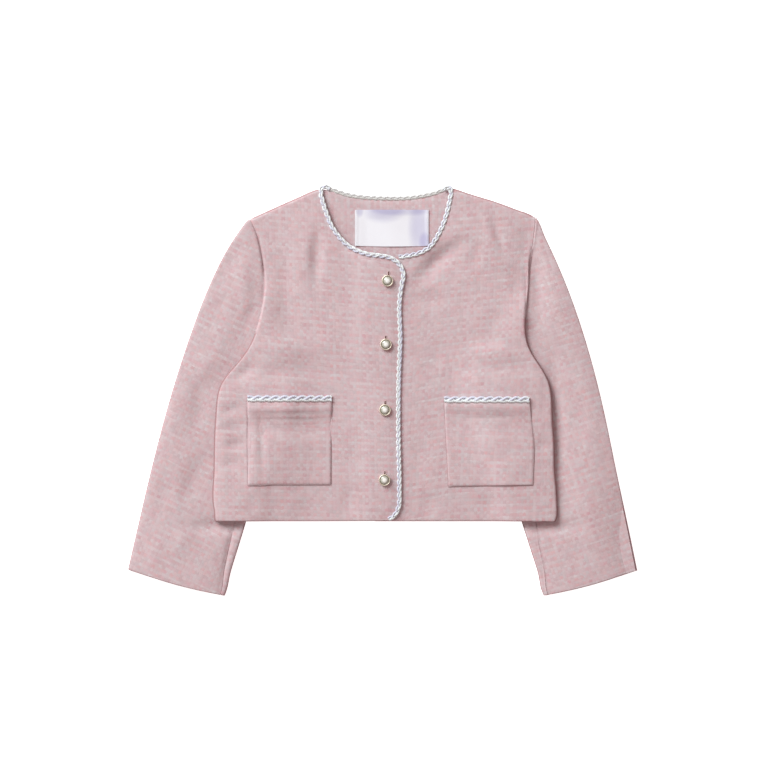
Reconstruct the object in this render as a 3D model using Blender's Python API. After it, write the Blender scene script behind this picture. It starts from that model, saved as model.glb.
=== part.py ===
"""A cropped tweed jacket, laid flat on its back, as solids.

Run with: blender --background --python part.py

Lengths are millimetres until a mesh is made. The cloth rests on z = 0, +Y runs towards the neck
and +X towards the wearer's left. "Right" and "left" are the wearer's, so right is at -X. The origin
lies under the middle of the whole outline.

The layers, from the floor up: the two sleeves, the back over them, the two fronts over the back,
the right front over the left one, then pockets, braid and buttons on the fronts.
"""

import math
from collections import namedtuple

import bpy
import numpy as np
from mathutils import Vector
from mathutils.bvhtree import BVHTree

MM = 0.001

# ---- cloth, and how it lies -------------------------------------------------------------------
WALL = 2.0              # tweed together with its lining
GAP = 0.3               # between pieces that are sewn to each other or lie on each other
EDGE_AIR = 0.8          # between back and front along their edges
HEM_AIR = 1.5           # and at the hem, where the turned-up cloth is bulky
BODY_AIR = 2.4          # added to that in the middle of the body
AIR_RUN = 55.0          # how far from an edge the body takes to fill out
LEAST_AIR = 0.4         # what a trough leaves between front and back

SLEEVE_EDGE = 4.8       # height of a sleeve's fold: two walls and a little air
SLEEVE_PUFF = 2.0       # how much higher a sleeve stands away from its folds
PUFF_RUN = 26.0         # and over what distance it gets there
PUFF_FROM = 9.0         # starting this far out from the body's edge
LIFT = SLEEVE_EDGE + 0.5    # height of the body's underside where a sleeve lies under it
LIFT_RUN = 24.0         # over which the body comes down to the floor beside the sleeve
LIFT_MARGIN = 5.0       # starting this far in from the sleeve's fold
ARMHOLE_GAP = 0.5       # between the sleeve's head and the body, on their coarse facets

ROLL = 4.5              # the fronts curl over by this much to meet the back at the sides
BACK_INSET = 4.6        # so the back's own edge lies this far inside
SEAM_DIP = 1.0          # depth of the valley along an armhole or sleeve seam
SEAM_ROUND = 3.0        # and half its width
HEM_DIP = 0.9           # rounding of a turned-up hem
HEM_ROUND = 2.5
LEAST_WALL = 0.6        # what such a dip leaves of the wall
LAP_FROM = 22.0         # the right front starts to climb this far outside the left one's edge
LAP_RUN = 16.0          # and has climbed after this much

# ---- grids: distances of the lines near an edge, and cells of even size between -----------------
ROLL_STEPS = (0.0, 0.25 * ROLL, 0.6 * ROLL, ROLL)
HEM_STEPS = (0.0, 0.4 * HEM_ROUND, HEM_ROUND)
FRONT_EDGE_STEPS = (0.0, 4.0)
HEAD_STEPS = (0.0, 1.2, SEAM_ROUND)
FRONT_COLUMNS, FRONT_ROWS = 13, 24
USUAL_WIDTH, USUAL_DEPTH = 185.0, 340.0     # of a front, to tell where a line lies before its own size
BACK_SIDE_COLUMNS, BACK_NECK_COLUMNS, BACK_ROWS = 11, 6, 19
SLEEVE_CELLS = 12                           # along a sleeve
# places across a sleeve, as shares of the stretch of cloth they lie on
UPPER_TOP = (0.0, 0.02, 0.16, 0.3, 0.45, 0.6, 0.75, 0.88)
UPPER_BOTTOM = (0.33, 0.67, 1.0)
UNDER_BOTTOM = (0.0, 0.33, 0.67)
UNDER_TOP = (0.4, 0.85, 1.0)
FOLD_RADIUS = 0.5 * SLEEVE_EDGE
FOLD_TURNS = (90.0, 45.0, 0.0, -45.0, -90.0)
POCKET_STEPS = (0.0, 0.014, 0.035)          # shares of its side where its turned edge rounds off
POCKET_CELLS = 8
POCKET_RIM = 0.45                           # height of that edge, as a share of the wall

# ---- braid, buttons, label --------------------------------------------------------------------
BRAID_WIDTH = 6.0
BRAID_HEIGHT = 2.7
BRAID_PITCH = 7.6       # one bulge of the plait
BRAID_WAIST = 0.80      # its narrow places, as a share of the full width and height
BRAID_OVERHANG = 1.5    # from the braid's middle out to the edge that it covers
BRAID_ENDS = 0.995      # share of a neck's line where its braid stops
# the braid's section: across and up, as shares of its half width and its height
BRAID_SECTION = ((-1.0, 0.0), (-0.8, 0.7), (0.0, 1.0), (0.8, 0.7), (1.0, 0.0))

BUTTON_RADIUS = 6.2
BUTTON_HEIGHT = 2.4
PEARL_RADIUS = 4.75
PEARL_HEIGHT = 2.6
CUP_FLOOR = 0.8
BUTTON_STEPS = 16
BUTTON_PLACES = ((5.1, 118.0), (3.5, 49.4), (2.4, -21.3), (1.9, -96.9))
# profiles from the middle underneath to the middle on top: radius and height, as shares
RIM_PROFILE = ((0.8, 0.0), (1.0, 0.35), (1.0, 0.75), (0.9, 1.0))
PEARL_PROFILE = ((1.0, 0.0), (1.0, 0.3), (0.82, 0.75), (0.45, 0.96))

LABEL_WALL = 1.0
LABEL_LEFT, LABEL_RIGHT = -30.0, 49.5
LABEL_LOW, LABEL_HIGH = 156.3, 195.2

# ---- the outline, as lines of (x, y) ------------------------------------------------------------
HEM_Y = -141.6
ARMHOLE_LOW = 20.0      # the armholes lie above this height
NECK_POINT_Y = 219.0    # where a shoulder meets the neck
NECK_MIDDLE_X, NECK_HALF = 5.0, 70.0
SHOULDER_SLOPE = 0.42

# from the hem up the side, round the armhole to the point of the shoulder
SIDE = {
    "right": (
        (-179.0, HEM_Y), (-182.8, -132.0), (-183.3, -86.0), (-181.7, -32.0),
        (-175.8, 7.8),                                      # underarm
        (-156.3, 30.5), (-143.4, 48.9), (-137.2, 65.1), (-130.8, 92.1),
        (-128.7, 124.5), (-131.8, 150.4), (-138.0, 174.2), (-144.5, 185.4),
    ),
    "left": (
        (181.7, HEM_Y), (185.9, -132.0), (185.5, -86.0), (183.9, -38.6),
        (179.0, 13.2),                                      # underarm
        (167.0, 31.6), (158.8, 44.5), (155.0, 60.0), (155.3, 82.0),
        (158.0, 108.3), (159.7, 135.3), (163.2, 158.0), (163.9, 186.2),
    ),
}

# between the point of the shoulder and the neck
SHOULDER = {
    "right": ((-129.3, 192.5), (-109.9, 201.2), (-90.5, 209.8), (-73.0, 217.4)),
    "left": ((143.9, 196.3), (119.1, 205.5), (91.0, 214.1), (80.0, 218.0)),
}

# middle of the braid on the right front: up the front edge, round the corner and the neck
RIGHT_EDGE_LINE = (
    (6.8, -139.8), (13.6, -134.7), (17.6, -126.1), (18.4, -107.7), (17.6, -60.0), (17.8, 13.2),
    (19.4, 55.0), (18.9, 100.0), (21.0, 114.5), (22.8, 124.5), (20.6, 132.6), (15.4, 139.0),
    (8.0, 143.4), (-2.5, 145.6), (-14.9, 147.0), (-26.7, 150.8), (-37.5, 156.9), (-47.3, 166.6),
    (-54.8, 177.6), (-60.4, 191.4), (-65.0, 206.0), (-66.4, 219.2),
)
# the same on the left front: its hidden edge, then the neck
LEFT_EDGE_LINE = (
    (-11.0, HEM_Y), (-11.0, -70.0), (-11.0, 0.0), (-11.0, 70.0), (-11.0, 118.0), (-7.0, 133.0),
    (4.0, 141.0), (17.6, 143.2), (28.9, 145.0), (40.2, 147.9), (50.6, 154.0), (59.7, 166.6),
    (66.2, 180.6), (70.3, 193.6), (73.1, 206.6), (74.0, 219.4),
)
LEFT_NECK_FROM = 20.4   # x where the braid on the left front comes out from under the right front
# middle of the braid on the back of the neck
BACK_NECK_LINE = (
    (-61.0, 218.4), (-50.5, 214.8), (-37.5, 210.4), (-18.1, 207.8), (7.8, 206.8), (27.3, 207.2),
    (46.7, 210.2), (59.7, 213.6), (69.2, 218.4),
)

# sleeves: the outer fold from the shoulder down, the cuff from outside in, the inner fold upwards
SLEEVE_OUTER = {
    "right": (
        (-151.5, 180.5), (-166.1, 158.0), (-185.5, 119.1), (-210.3, 54.3), (-230.9, -10.5),
        (-251.4, -88.3), (-266.5, -153.1), (-275.9, -194.0),
    ),
    "left": (
        (169.6, 180.0), (179.6, 158.0), (196.8, 119.1), (219.5, 54.3), (236.8, -10.5),
        (253.0, -88.3), (267.0, -153.1), (275.6, -195.0),
    ),
}
SLEEVE_CUFF = {
    "right": ((-223.3, -210.6), (-172.5, -222.4)),
    "left": ((226.0, -210.6), (176.0, -222.4)),
}
SLEEVE_INNER = {
    "right": ((-148.2, -144.1), (-127.2, -69.9), (-104.5, 7.8)),
    "left": ((150.2, -143.4), (129.2, -69.9), (106.1, 8.0)),
}
# where the sleeve's head leaves the armhole's edge and goes on under the body, and where there
SLEEVE_PARTS_AT = {"right": 97.0, "left": 84.0}
SLEEVE_HIDDEN = {"right": (-125.6, 62.0), "left": (143.0, 55.0)}
# the body climbs on to the sleeve between these heights on the page
CLIMB = {"right": (142.0, 96.0), "left": (176.0, 92.0)}
SLEEVE_SEAM = (28.0, 4.5)   # front seam's distance from the inner fold, at the head and at the cuff
BACK_SEAM = 0.45            # the hidden seam underneath, as a share of the width

Pocket = namedtuple("Pocket", "low_outer low_inner high_inner high_outer bow")
POCKETS = {
    "right": Pocket((-146.1, -103.4), (-55.4, -102.9), (-54.3, -7.6), (-146.6, -7.6), (-146.8, -55.0)),
    "left": Pocket((162.3, -102.9), (70.5, -105.0), (65.5, -9.8), (158.5, -7.6), (163.6, -66.0)),
}

# largest folds of the fronts: middle x and y, heading in degrees, size, and height (- is a trough)
Fold = namedtuple("Fold", "x y heading length width height")
FOLDS = (
    Fold(-73.0, 148.0, 88.0, 62.0, 13.0, -1.0),
    Fold(-105.0, 122.0, 96.0, 105.0, 15.0, -0.6),
    Fold(-92.0, 24.0, 0.0, 108.0, 19.0, -1.1),
    Fold(-57.0, 64.0, 12.0, 64.0, 24.0, 0.7),
    Fold(56.0, 143.0, 41.0, 70.0, 13.0, -1.9),
    Fold(76.0, 116.0, 30.0, 74.0, 20.0, 0.6),
    Fold(127.7, 169.0, -71.0, 60.0, 11.0, -0.9),
    Fold(48.0, 92.0, 2.0, 46.0, 18.0, -0.8),
    Fold(118.0, 24.0, 8.0, 84.0, 17.0, -0.8),
)

SIGN = {"right": -1, "left": 1}

Finish = namedtuple("Finish", "colour roughness metallic")
FINISHES = {
    "tweed": Finish((0.636, 0.474, 0.490), 0.95, 0.0),
    "braid": Finish((0.780, 0.800, 0.840), 0.80, 0.0),
    "satin": Finish((0.850, 0.850, 0.930), 0.35, 0.0),
    "rim": Finish((0.700, 0.640, 0.480), 0.28, 1.0),
    "pearl": Finish((0.860, 0.840, 0.800), 0.18, 0.0),
}


# ---- lines and patches ------------------------------------------------------------------------
class Line:
    """A smooth line through a few points, read by the share of its length from 0 to 1."""

    SAMPLES = 600

    def __init__(self, points, straight=False):
        knots = np.array(points, float)
        at = np.concatenate(([0.0], np.cumsum(np.linalg.norm(np.diff(knots, axis=0), axis=1))))
        slopes = np.gradient(knots, at, axis=0)
        s = np.linspace(0.0, at[-1], self.SAMPLES)
        k = np.clip(np.searchsorted(at, s, side="right") - 1, 0, len(at) - 2)
        span = (at[k + 1] - at[k])[:, None]
        t = (s - at[k])[:, None] / span
        self.points = (1 - t) * knots[k] + t * knots[k + 1]
        if not straight:
            chord = (knots[k + 1] - knots[k]) / span
            bend = (t - 2 * t**2 + t**3) * (slopes[k] - chord) - (t**2 - t**3) * (slopes[k + 1] - chord)
            self.points += bend * span
        steps = np.linalg.norm(np.diff(self.points, axis=0), axis=1)
        run = np.concatenate(([0.0], np.cumsum(steps)))
        self.length = run[-1]
        self.share = run / run[-1]

    def __call__(self, share):
        return np.array([np.interp(share, self.share, self.points[:, i]) for i in (0, 1)])

    def normal(self, share):
        """Unit vector to the right of the way along the line."""
        ahead = self(min(share + 0.004, 1.0)) - self(max(share - 0.004, 0.0))
        return np.array((ahead[1], -ahead[0])) / np.linalg.norm(ahead)

    def moved(self, distance, count=40):
        """The line moved to its right."""
        shares = np.linspace(0.0, 1.0, count)
        return Line([self(s) + distance * self.normal(s) for s in shares])

    def share_near(self, point):
        """Share of the length at the place nearest to a point."""
        return float(self.share[np.argmin(np.linalg.norm(self.points - point, axis=1))])

    def x_at(self, y):
        """x where the line crosses a height y, for a line that climbs all the way."""
        order = np.argsort(self.points[:, 1])
        return np.interp(y, self.points[order, 1], self.points[order, 0])


class Patch:
    """A Coons patch between four lines: start and end run along u, low and high along v."""

    def __init__(self, start, end, low, high):
        self.start, self.end, self.low, self.high = start, end, low, high

    def __call__(self, u, v):
        across = (1 - v) * self.start(u) + v * self.end(u)
        along = (1 - u) * self.low(v) + u * self.high(v)
        corners = (
            (1 - u) * (1 - v) * self.low(0) + u * (1 - v) * self.high(0)
            + (1 - u) * v * self.low(1) + u * v * self.high(1)
        )
        return across + along - corners

    def width(self, v):
        return np.linalg.norm(self.high(v) - self.low(v))

    def depth(self, u):
        return np.linalg.norm(self.end(u) - self.start(u))


def smooth(t):
    """0 up to t = 0, 1 from t = 1 on, with a soft turn at both ends."""
    t = min(max(t, 0.0), 1.0)
    return t * t * (3 - 2 * t)


def rounding(distance, radius):
    """Height of a quarter circle of radius 1 at a distance from the edge."""
    if distance >= radius:
        return 1.0
    return math.sqrt(max(0.0, 1.0 - (1.0 - distance / radius) ** 2))


class GridLines:
    """Lines of a grid across some length: at set distances near both ends, and even between."""

    def __init__(self, near_start, near_end, cells):
        self.near_start, self.near_end = near_start, near_end
        self.first = len(near_start) - 1
        self.last = self.first + cells
        self.count = self.last + len(near_end)

    def share(self, index, length):
        """Share of a length at which one line lies."""
        if index < self.first:
            return self.near_start[index] / length
        if index > self.last:
            return 1.0 - self.near_end[self.count - 1 - index] / length
        low, high = self.near_start[-1] / length, 1.0 - self.near_end[-1] / length
        return low + (high - low) * (index - self.first) / (self.last - self.first)

    def shares(self, length):
        return [self.share(index, length) for index in range(self.count)]

    def from_start(self, index):
        """Distance from the start, or the last of the set ones beyond them."""
        return self.near_start[min(index, self.first)]

    def from_end(self, index):
        return self.near_end[min(self.count - 1 - index, len(self.near_end) - 1)]


# ---- heights ------------------------------------------------------------------------------------
class Side:
    """The lines of one half of the jacket, and how high its sleeve lifts the body."""

    def __init__(self, name):
        self.name = name
        self.sign = SIGN[name]
        self.edge = Line(SIDE[name])
        underarm = SLEEVE_INNER[name][-1]
        part = self.share_at(SLEEVE_PARTS_AT[name])
        clear = self.edge.moved(self.sign * ARMHOLE_GAP)
        shown = [clear(s) for s in np.linspace(1.0, part, 9)]
        self.head = Line(shown + [SLEEVE_HIDDEN[name], underarm])
        self.outer = Line([shown[0]] + list(SLEEVE_OUTER[name]))
        self.inner = Line([underarm] + list(reversed(SLEEVE_INNER[name][:-1])) + [SLEEVE_CUFF[name][-1]])
        self.cuff = Line([SLEEVE_OUTER[name][-1]] + list(SLEEVE_CUFF[name]))
        hidden = [self.inner(s) for s in np.linspace(1.0, 0.0, 12)] + [SLEEVE_HIDDEN[name], shown[-1]]
        self.sleeve_rim = Line(hidden)

    def share_at(self, y):
        """Share of the side's line, above the underarm, where it reaches a height y."""
        heights = self.edge.points[:, 1]
        upper = heights > ARMHOLE_LOW
        return float(np.interp(y, heights[upper], self.edge.share[upper]))

    def body_lift(self, x, y):
        """Underside of the body over and beside this sleeve."""
        away = 0.0
        if self.sign * (x - self.sleeve_rim.x_at(y)) < 0:
            away = np.min(np.linalg.norm(self.sleeve_rim.points - (x, y), axis=1))
        return LIFT * self.rolled(y) * smooth(1.0 - (away - LIFT_MARGIN) / LIFT_RUN)

    def rolled(self, y):
        """1 where the front curls over the sleeve, 0 where it is seamed to it edge to edge."""
        start, full = CLIMB[self.name]
        return smooth((start - y) / (start - full))

    def beyond_body(self, x, y):
        """How far a point lies outside the body's edge or below its hem."""
        return max(self.sign * (x - self.edge.x_at(y)), HEM_Y - y, 0.0)


RIGHT, LEFT = Side("right"), Side("left")


def body_lift(x, y):
    return RIGHT.body_lift(x, y) + LEFT.body_lift(x, y)


def fold_height(x, y):
    """Sum of the soft ridges and troughs at a point."""
    total = 0.0
    for fold in FOLDS:
        turn = math.radians(fold.heading)
        along = (x - fold.x) * math.cos(turn) + (y - fold.y) * math.sin(turn)
        across = (y - fold.y) * math.cos(turn) - (x - fold.x) * math.sin(turn)
        end = 1.0 - smooth(abs(along) / (0.5 * fold.length))
        total += fold.height * end * math.exp(-0.5 * (2.5 * across / fold.width) ** 2)
    return total


def body_air(x, y):
    """Air between the back and a front."""
    from_side = min(x - RIGHT.edge.x_at(y), LEFT.edge.x_at(y) - x)
    from_hem = y - HEM_Y
    from_shoulder = NECK_POINT_Y - SHOULDER_SLOPE * max(abs(x - NECK_MIDDLE_X) - NECK_HALF, 0.0) - y
    filled = smooth(from_side / AIR_RUN) * smooth(from_hem / AIR_RUN) * smooth(from_shoulder / AIR_RUN)
    bulky = smooth(1.0 - from_hem / AIR_RUN) * smooth(from_side / ROLL - 1.0)
    edge = EDGE_AIR + (HEM_AIR - EDGE_AIR) * bulky
    return max(edge + BODY_AIR * filled + fold_height(x, y) * min(1.0, 2.0 * filled), LEAST_AIR)


def front_top(x, y, over=0.0):
    """Top of a front: lift, back, air and its own wall, and over = 1 where it laps the other."""
    return body_lift(x, y) + WALL + body_air(x, y) + WALL + over * (WALL + 1.4 * GAP)


# ---- meshes -------------------------------------------------------------------------------------
def make_material(name):
    finish = FINISHES[name]
    material = bpy.data.materials.new(name)
    material.use_nodes = True
    shader = material.node_tree.nodes["Principled BSDF"]
    shader.inputs["Base Color"].default_value = (*finish.colour, 1.0)
    shader.inputs["Roughness"].default_value = finish.roughness
    shader.inputs["Metallic"].default_value = finish.metallic
    return material


def add_object(name, points, faces, material):
    mesh = bpy.data.meshes.new(name)
    mesh.from_pydata([Vector(p) * MM for p in points], [], faces)
    mesh.update()
    mesh.shade_smooth()
    mesh.set_sharp_from_angle(angle=math.radians(50.0))
    mesh.materials.append(make_material(material))
    thing = bpy.data.objects.new(name, mesh)
    bpy.context.collection.objects.link(thing)
    return thing


def add_wall(name, outer, inner, material):
    """Close two grids of points, one each side of the cloth, into one wall."""
    outer, inner = np.array(outer, float), np.array(inner, float)
    rows, cols = outer.shape[:2]
    count = rows * cols
    points = np.concatenate((outer.reshape(-1, 3), inner.reshape(-1, 3)))

    def at(i, j):
        return i * cols + j

    faces = []
    for i in range(rows - 1):
        for j in range(cols - 1):
            near, far = at(i, j), at(i + 1, j + 1)
            for triangle in ((near, at(i, j + 1), far), (near, far, at(i + 1, j))):
                faces.append(triangle)
                faces.append(tuple(k + count for k in reversed(triangle)))
    loop = [at(0, j) for j in range(cols)] + [at(i, cols - 1) for i in range(1, rows)]
    loop += [at(rows - 1, j) for j in range(cols - 2, -1, -1)] + [at(i, 0) for i in range(rows - 2, 0, -1)]
    for k, here in enumerate(loop):
        after = loop[(k + 1) % len(loop)]
        faces.append((after, here, here + count, after + count))
    across = outer[:, 1:] - outer[:, :-1]
    along = outer[1:] - outer[:-1]
    facing = np.cross(across[:-1], along[:, :-1]).reshape(-1, 3)
    outward = (outer - inner)[:-1, :-1].reshape(-1, 3)
    if np.sum(facing * outward) < 0:
        faces = [tuple(reversed(face)) for face in faces]
    return add_object(name, points, faces, material)


def add_turned(name, profile, centre, material):
    """Turn a profile of (radius, height), which starts and ends on the axis, about a centre."""
    points = [(centre[0], centre[1], centre[2] + profile[0][1])]
    for radius, height in profile[1:-1]:
        for k in range(BUTTON_STEPS):
            turn = 2 * math.pi * k / BUTTON_STEPS
            points.append(
                (centre[0] + radius * math.cos(turn), centre[1] + radius * math.sin(turn), centre[2] + height)
            )
    points.append((centre[0], centre[1], centre[2] + profile[-1][1]))
    rings = len(profile) - 2
    last = len(points) - 1
    faces = []
    for k in range(BUTTON_STEPS):
        after = (k + 1) % BUTTON_STEPS
        faces.append((0, 1 + after, 1 + k))
        for ring in range(rings - 1):
            low, high = 1 + ring * BUTTON_STEPS, 1 + (ring + 1) * BUTTON_STEPS
            faces.append((low + k, low + after, high + after, high + k))
        top = 1 + (rings - 1) * BUTTON_STEPS
        faces.append((top + k, top + after, last))
    return add_object(name, points, faces, material)


class Surface:
    """The upper side of finished pieces, read straight down."""

    def __init__(self, *things):
        self.trees = []
        for thing in things:
            mesh = thing.data
            self.trees.append(
                BVHTree.FromPolygons([v.co for v in mesh.vertices], [p.vertices[:] for p in mesh.polygons])
            )

    def height(self, x, y):
        """Highest point of the pieces at x, y, or None beside them."""
        best = None
        for tree in self.trees:
            hit = tree.ray_cast(Vector((x * MM, y * MM, 1.0)), Vector((0.0, 0.0, -1.0)))[0]
            if hit is not None and (best is None or hit.z / MM > best):
                best = hit.z / MM
        return best


# ---- the body -----------------------------------------------------------------------------------
def front_patch(side, edge_line):
    """Plan of a front: u runs from the side to the front edge, v from the hem to the shoulder."""
    front = Line(edge_line).moved(BRAID_OVERHANG)
    hem = Line([side.edge(0), (0.75 * side.edge(0)[0], HEM_Y), (0.35 * side.edge(0)[0], HEM_Y), front(0)])
    shoulder = Line([side.edge(1)] + list(SHOULDER[side.name]) + [front(1)])
    return Patch(hem, shoulder, side.edge, front)


def make_front(side, patch, columns, rows, lapped):
    """A front: rolled over at the side and the shoulder, rounded at the hem, plain at its front edge.

    lapped(x) is 1 where it lies on the other front.
    """
    across = GridLines(ROLL_STEPS, FRONT_EDGE_STEPS, columns)
    along = GridLines(HEM_STEPS, ROLL_STEPS, rows)
    outer, inner = [], []
    for i in range(along.count):
        outer.append([])
        inner.append([])
        from_hem, from_shoulder = along.from_start(i), along.from_end(i)
        width = patch.width(along.share(i, USUAL_DEPTH))
        for j in range(across.count):
            from_side = across.from_start(j)
            depth = patch.depth(across.share(j, USUAL_WIDTH))
            u, v = across.share(j, width), along.share(i, depth)
            x, y = patch(u, v)
            rolled = side.rolled(y)
            # the inner side of a roll starts one wall further in
            step_side = rolled * WALL * (1.0 - from_side / ROLL)
            step_shoulder = WALL * (1.0 - from_shoulder / ROLL)
            x_in, y_in = patch(u + step_side / width, v - step_shoulder / depth)
            high, floor = front_top(x, y, lapped(x)), body_lift(x, y)
            high_in, floor_in = front_top(x_in, y_in, lapped(x_in)), body_lift(x_in, y_in)

            at_side = rounding(from_side, ROLL)
            at_shoulder = rounding(from_shoulder, ROLL)
            seam = SEAM_DIP * (1.0 - rounding(from_side, SEAM_ROUND)) * (1.0 - rolled)
            turned = at_shoulder * (at_side * rolled + 1.0 - rolled)
            z = floor + (high - floor - seam) * turned
            z -= HEM_DIP * (1.0 - rounding(from_hem, HEM_ROUND)) * at_side
            z_in = floor_in + (high_in - WALL - floor_in) * turned
            if turned > 0.5:
                z_in = min(z_in, z - LEAST_WALL)
            outer[-1].append((x, y, z))
            inner[-1].append((x_in, y_in, z_in))
    return outer, inner


def right_lap(x):
    """How far the right front has climbed on to the left one."""
    hidden_edge = LEFT_EDGE_LINE[0][0] - BRAID_OVERHANG
    return smooth((x - hidden_edge + LAP_FROM) / LAP_RUN)


def no_lap(x):
    return 0.0


def back_side(side, patch):
    """The back's edge below one arm: inside the front's rolled edge, and at the seam where none is."""
    points = []
    for v in np.linspace(0.0, 1.0, 34):
        # the inset is full as soon as a third of the roll is there
        inset = max(BACK_INSET * min(1.0, 3.0 * side.rolled(patch(0.0, v)[1])), GAP)
        below_shoulder = min(v, 1.0 - BACK_INSET / patch.depth(0.1))
        points.append(patch(inset / patch.width(v), below_shoulder))
    return points


def back_shoulder(patch):
    """The back's edge along one shoulder, from the arm to short of the neck."""
    return [patch(u, 1.0 - BACK_INSET / patch.depth(u)) for u in np.linspace(0.06, 0.9, 8)]


def make_back():
    """The back: inside the fronts' rolled edges, and up to the braid at the neck."""
    right_side = back_side(RIGHT, FRONT_PATCH["right"])
    left_side = back_side(LEFT, FRONT_PATCH["left"])
    neck = Line(BACK_NECK_LINE).moved(-BRAID_OVERHANG)
    neck_points = [neck(s) for s in np.linspace(0.0, 1.0, 2 * BACK_NECK_COLUMNS)]
    right_shoulder = [right_side[-1]] + back_shoulder(FRONT_PATCH["right"])
    left_shoulder = [left_side[-1]] + back_shoulder(FRONT_PATCH["left"])
    # below each end of the neck, clear of the front's rolled corner
    right_notch = (neck_points[0][0], right_shoulder[-1][1])
    left_notch = (neck_points[-1][0], left_shoulder[-1][1])
    top_points = right_shoulder + [right_notch] + neck_points + [left_notch] + left_shoulder[::-1]
    top = Line(top_points, straight=True)
    low = Line([right_side[0], (0.0, right_side[0][1]), left_side[0]])
    patch = Patch(low, top, Line(right_side), Line(left_side))

    # one column ends at each of these corners
    corners = [top.share_near(p) for p in (right_notch, neck_points[0], neck_points[-1], left_notch)]
    columns = np.concatenate((
        np.linspace(0.0, corners[0], BACK_SIDE_COLUMNS + 1),
        np.linspace(corners[1], corners[2], BACK_NECK_COLUMNS + 1),
        np.linspace(corners[3], 1.0, BACK_SIDE_COLUMNS + 1),
    ))
    outer, inner = [], []
    for v in np.linspace(0.0, 1.0, BACK_ROWS + 1):
        outer.append([])
        inner.append([])
        for u in columns:
            x, y = patch(u, v)
            z = body_lift(x, y)
            outer[-1].append((x, y, z + WALL))
            inner[-1].append((x, y, z))
    return add_wall("back_panel", outer, inner, "tweed")


# ---- sleeves ------------------------------------------------------------------------------------
class SleeveSection:
    """One section across a sleeve: it collects the outer and inner points of a piece of its cloth."""

    def __init__(self, side, patch, v, from_head, from_cuff):
        self.side, self.patch, self.v = side, patch, v
        self.width = patch.width(v)
        self.front_seam = self.width - (SLEEVE_SEAM[0] + (SLEEVE_SEAM[1] - SLEEVE_SEAM[0]) * v)
        self.under_seam = BACK_SEAM * self.width
        self.end_dip = SEAM_DIP * (1.0 - rounding(from_head, SEAM_ROUND))
        self.end_dip += HEM_DIP * (1.0 - rounding(from_cuff, HEM_ROUND))
        self.outer, self.inner = [], []

    def plan(self, from_outer_fold):
        return self.patch(from_outer_fold / self.width, self.v)

    def top(self, start, end, shares, seam_share):
        """Cloth on top: flat under the body, puffed out beyond its edge, and pressed in at its seam."""
        for share in shares:
            distance = start + (end - start) * share
            x, y = self.plan(distance)
            from_fold = min(distance, self.width - distance)
            free = smooth((self.side.beyond_body(x, y) - PUFF_FROM) / PUFF_RUN) * smooth(from_fold / PUFF_RUN)
            z = SLEEVE_EDGE + SLEEVE_PUFF * free
            dip = max(SEAM_DIP, self.end_dip) if share == seam_share else self.end_dip
            self.outer.append((x, y, z - dip))
            self.inner.append((x, y, z - WALL))

    def bottom(self, start, end, shares):
        """Cloth that lies on the floor."""
        for share in shares:
            x, y = self.plan(start + (end - start) * share)
            self.outer.append((x, y, 0.0))
            self.inner.append((x, y, WALL))

    def fold(self, at, inward, turns):
        """A fold at one side of the sleeve: inward is 1 or -1, the way from it to the sleeve's middle."""
        faces = ((self.outer, FOLD_RADIUS, self.end_dip), (self.inner, FOLD_RADIUS - WALL, 0.0))
        for turn in turns:
            up, out = math.sin(math.radians(turn)), math.cos(math.radians(turn))
            for points, radius, dip in faces:
                x, y = self.plan(at + inward * (FOLD_RADIUS - radius * out))
                points.append((x, y, FOLD_RADIUS + radius * up - dip * max(up, 0.0)))

    def upper_sleeve(self):
        self.top(self.front_seam - 0.5 * GAP, FOLD_RADIUS, UPPER_TOP, 0.0)
        self.fold(0.0, 1.0, FOLD_TURNS)
        self.bottom(FOLD_RADIUS, self.under_seam - 0.5 * GAP, UPPER_BOTTOM)
        return self.outer, self.inner

    def under_sleeve(self):
        self.bottom(self.under_seam + 0.5 * GAP, self.width - FOLD_RADIUS, UNDER_BOTTOM)
        self.fold(self.width, -1.0, FOLD_TURNS[::-1])
        self.top(self.width - FOLD_RADIUS, self.front_seam + 0.5 * GAP, UNDER_TOP, 1.0)
        return self.outer, self.inner


def make_sleeve(side):
    """The upper and the under sleeve, seamed to each other on top and underneath."""
    patch = Patch(side.head, side.cuff, side.outer, side.inner)
    length = side.outer.length
    stations = GridLines(HEAD_STEPS, HEM_STEPS, SLEEVE_CELLS).shares(length)
    for part, cloth in (("upper", SleeveSection.upper_sleeve), ("under", SleeveSection.under_sleeve)):
        sections = [cloth(SleeveSection(side, patch, v, v * length, (1.0 - v) * length)) for v in stations]
        outer, inner = zip(*sections)
        add_wall(f"sleeve_{part}_{side.name}", outer, inner, "tweed")


# ---- what lies on the body ----------------------------------------------------------------------
def settled(plan, surface):
    """Heights for a grid of plan points at which its facets clear the surface as well."""
    rows, cols = plan.shape[:2]
    heights = np.array([[surface.height(*plan[i, j]) + GAP for j in range(cols)] for i in range(rows)])
    shares = [(a, b) for a in np.linspace(0.0, 1.0, 7) for b in np.linspace(0.0, 1.0, 7)]
    for i in range(rows - 1):
        for j in range(cols - 1):
            cell = (slice(i, i + 2), slice(j, j + 2))
            for a, b in shares:
                # the two triangles of add_wall meet along the diagonal a = b
                if a > b:
                    weight = np.array(((1 - a, 0.0), (a - b, b)))
                else:
                    weight = np.array(((1 - b, b - a), (0.0, a)))
                x, y = np.tensordot(weight, plan[cell], axes=((0, 1), (0, 1)))
                short = surface.height(x, y) + 0.8 * GAP - np.sum(weight * heights[cell])
                if short > 0.0:
                    heights[cell] += short
    return heights


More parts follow.
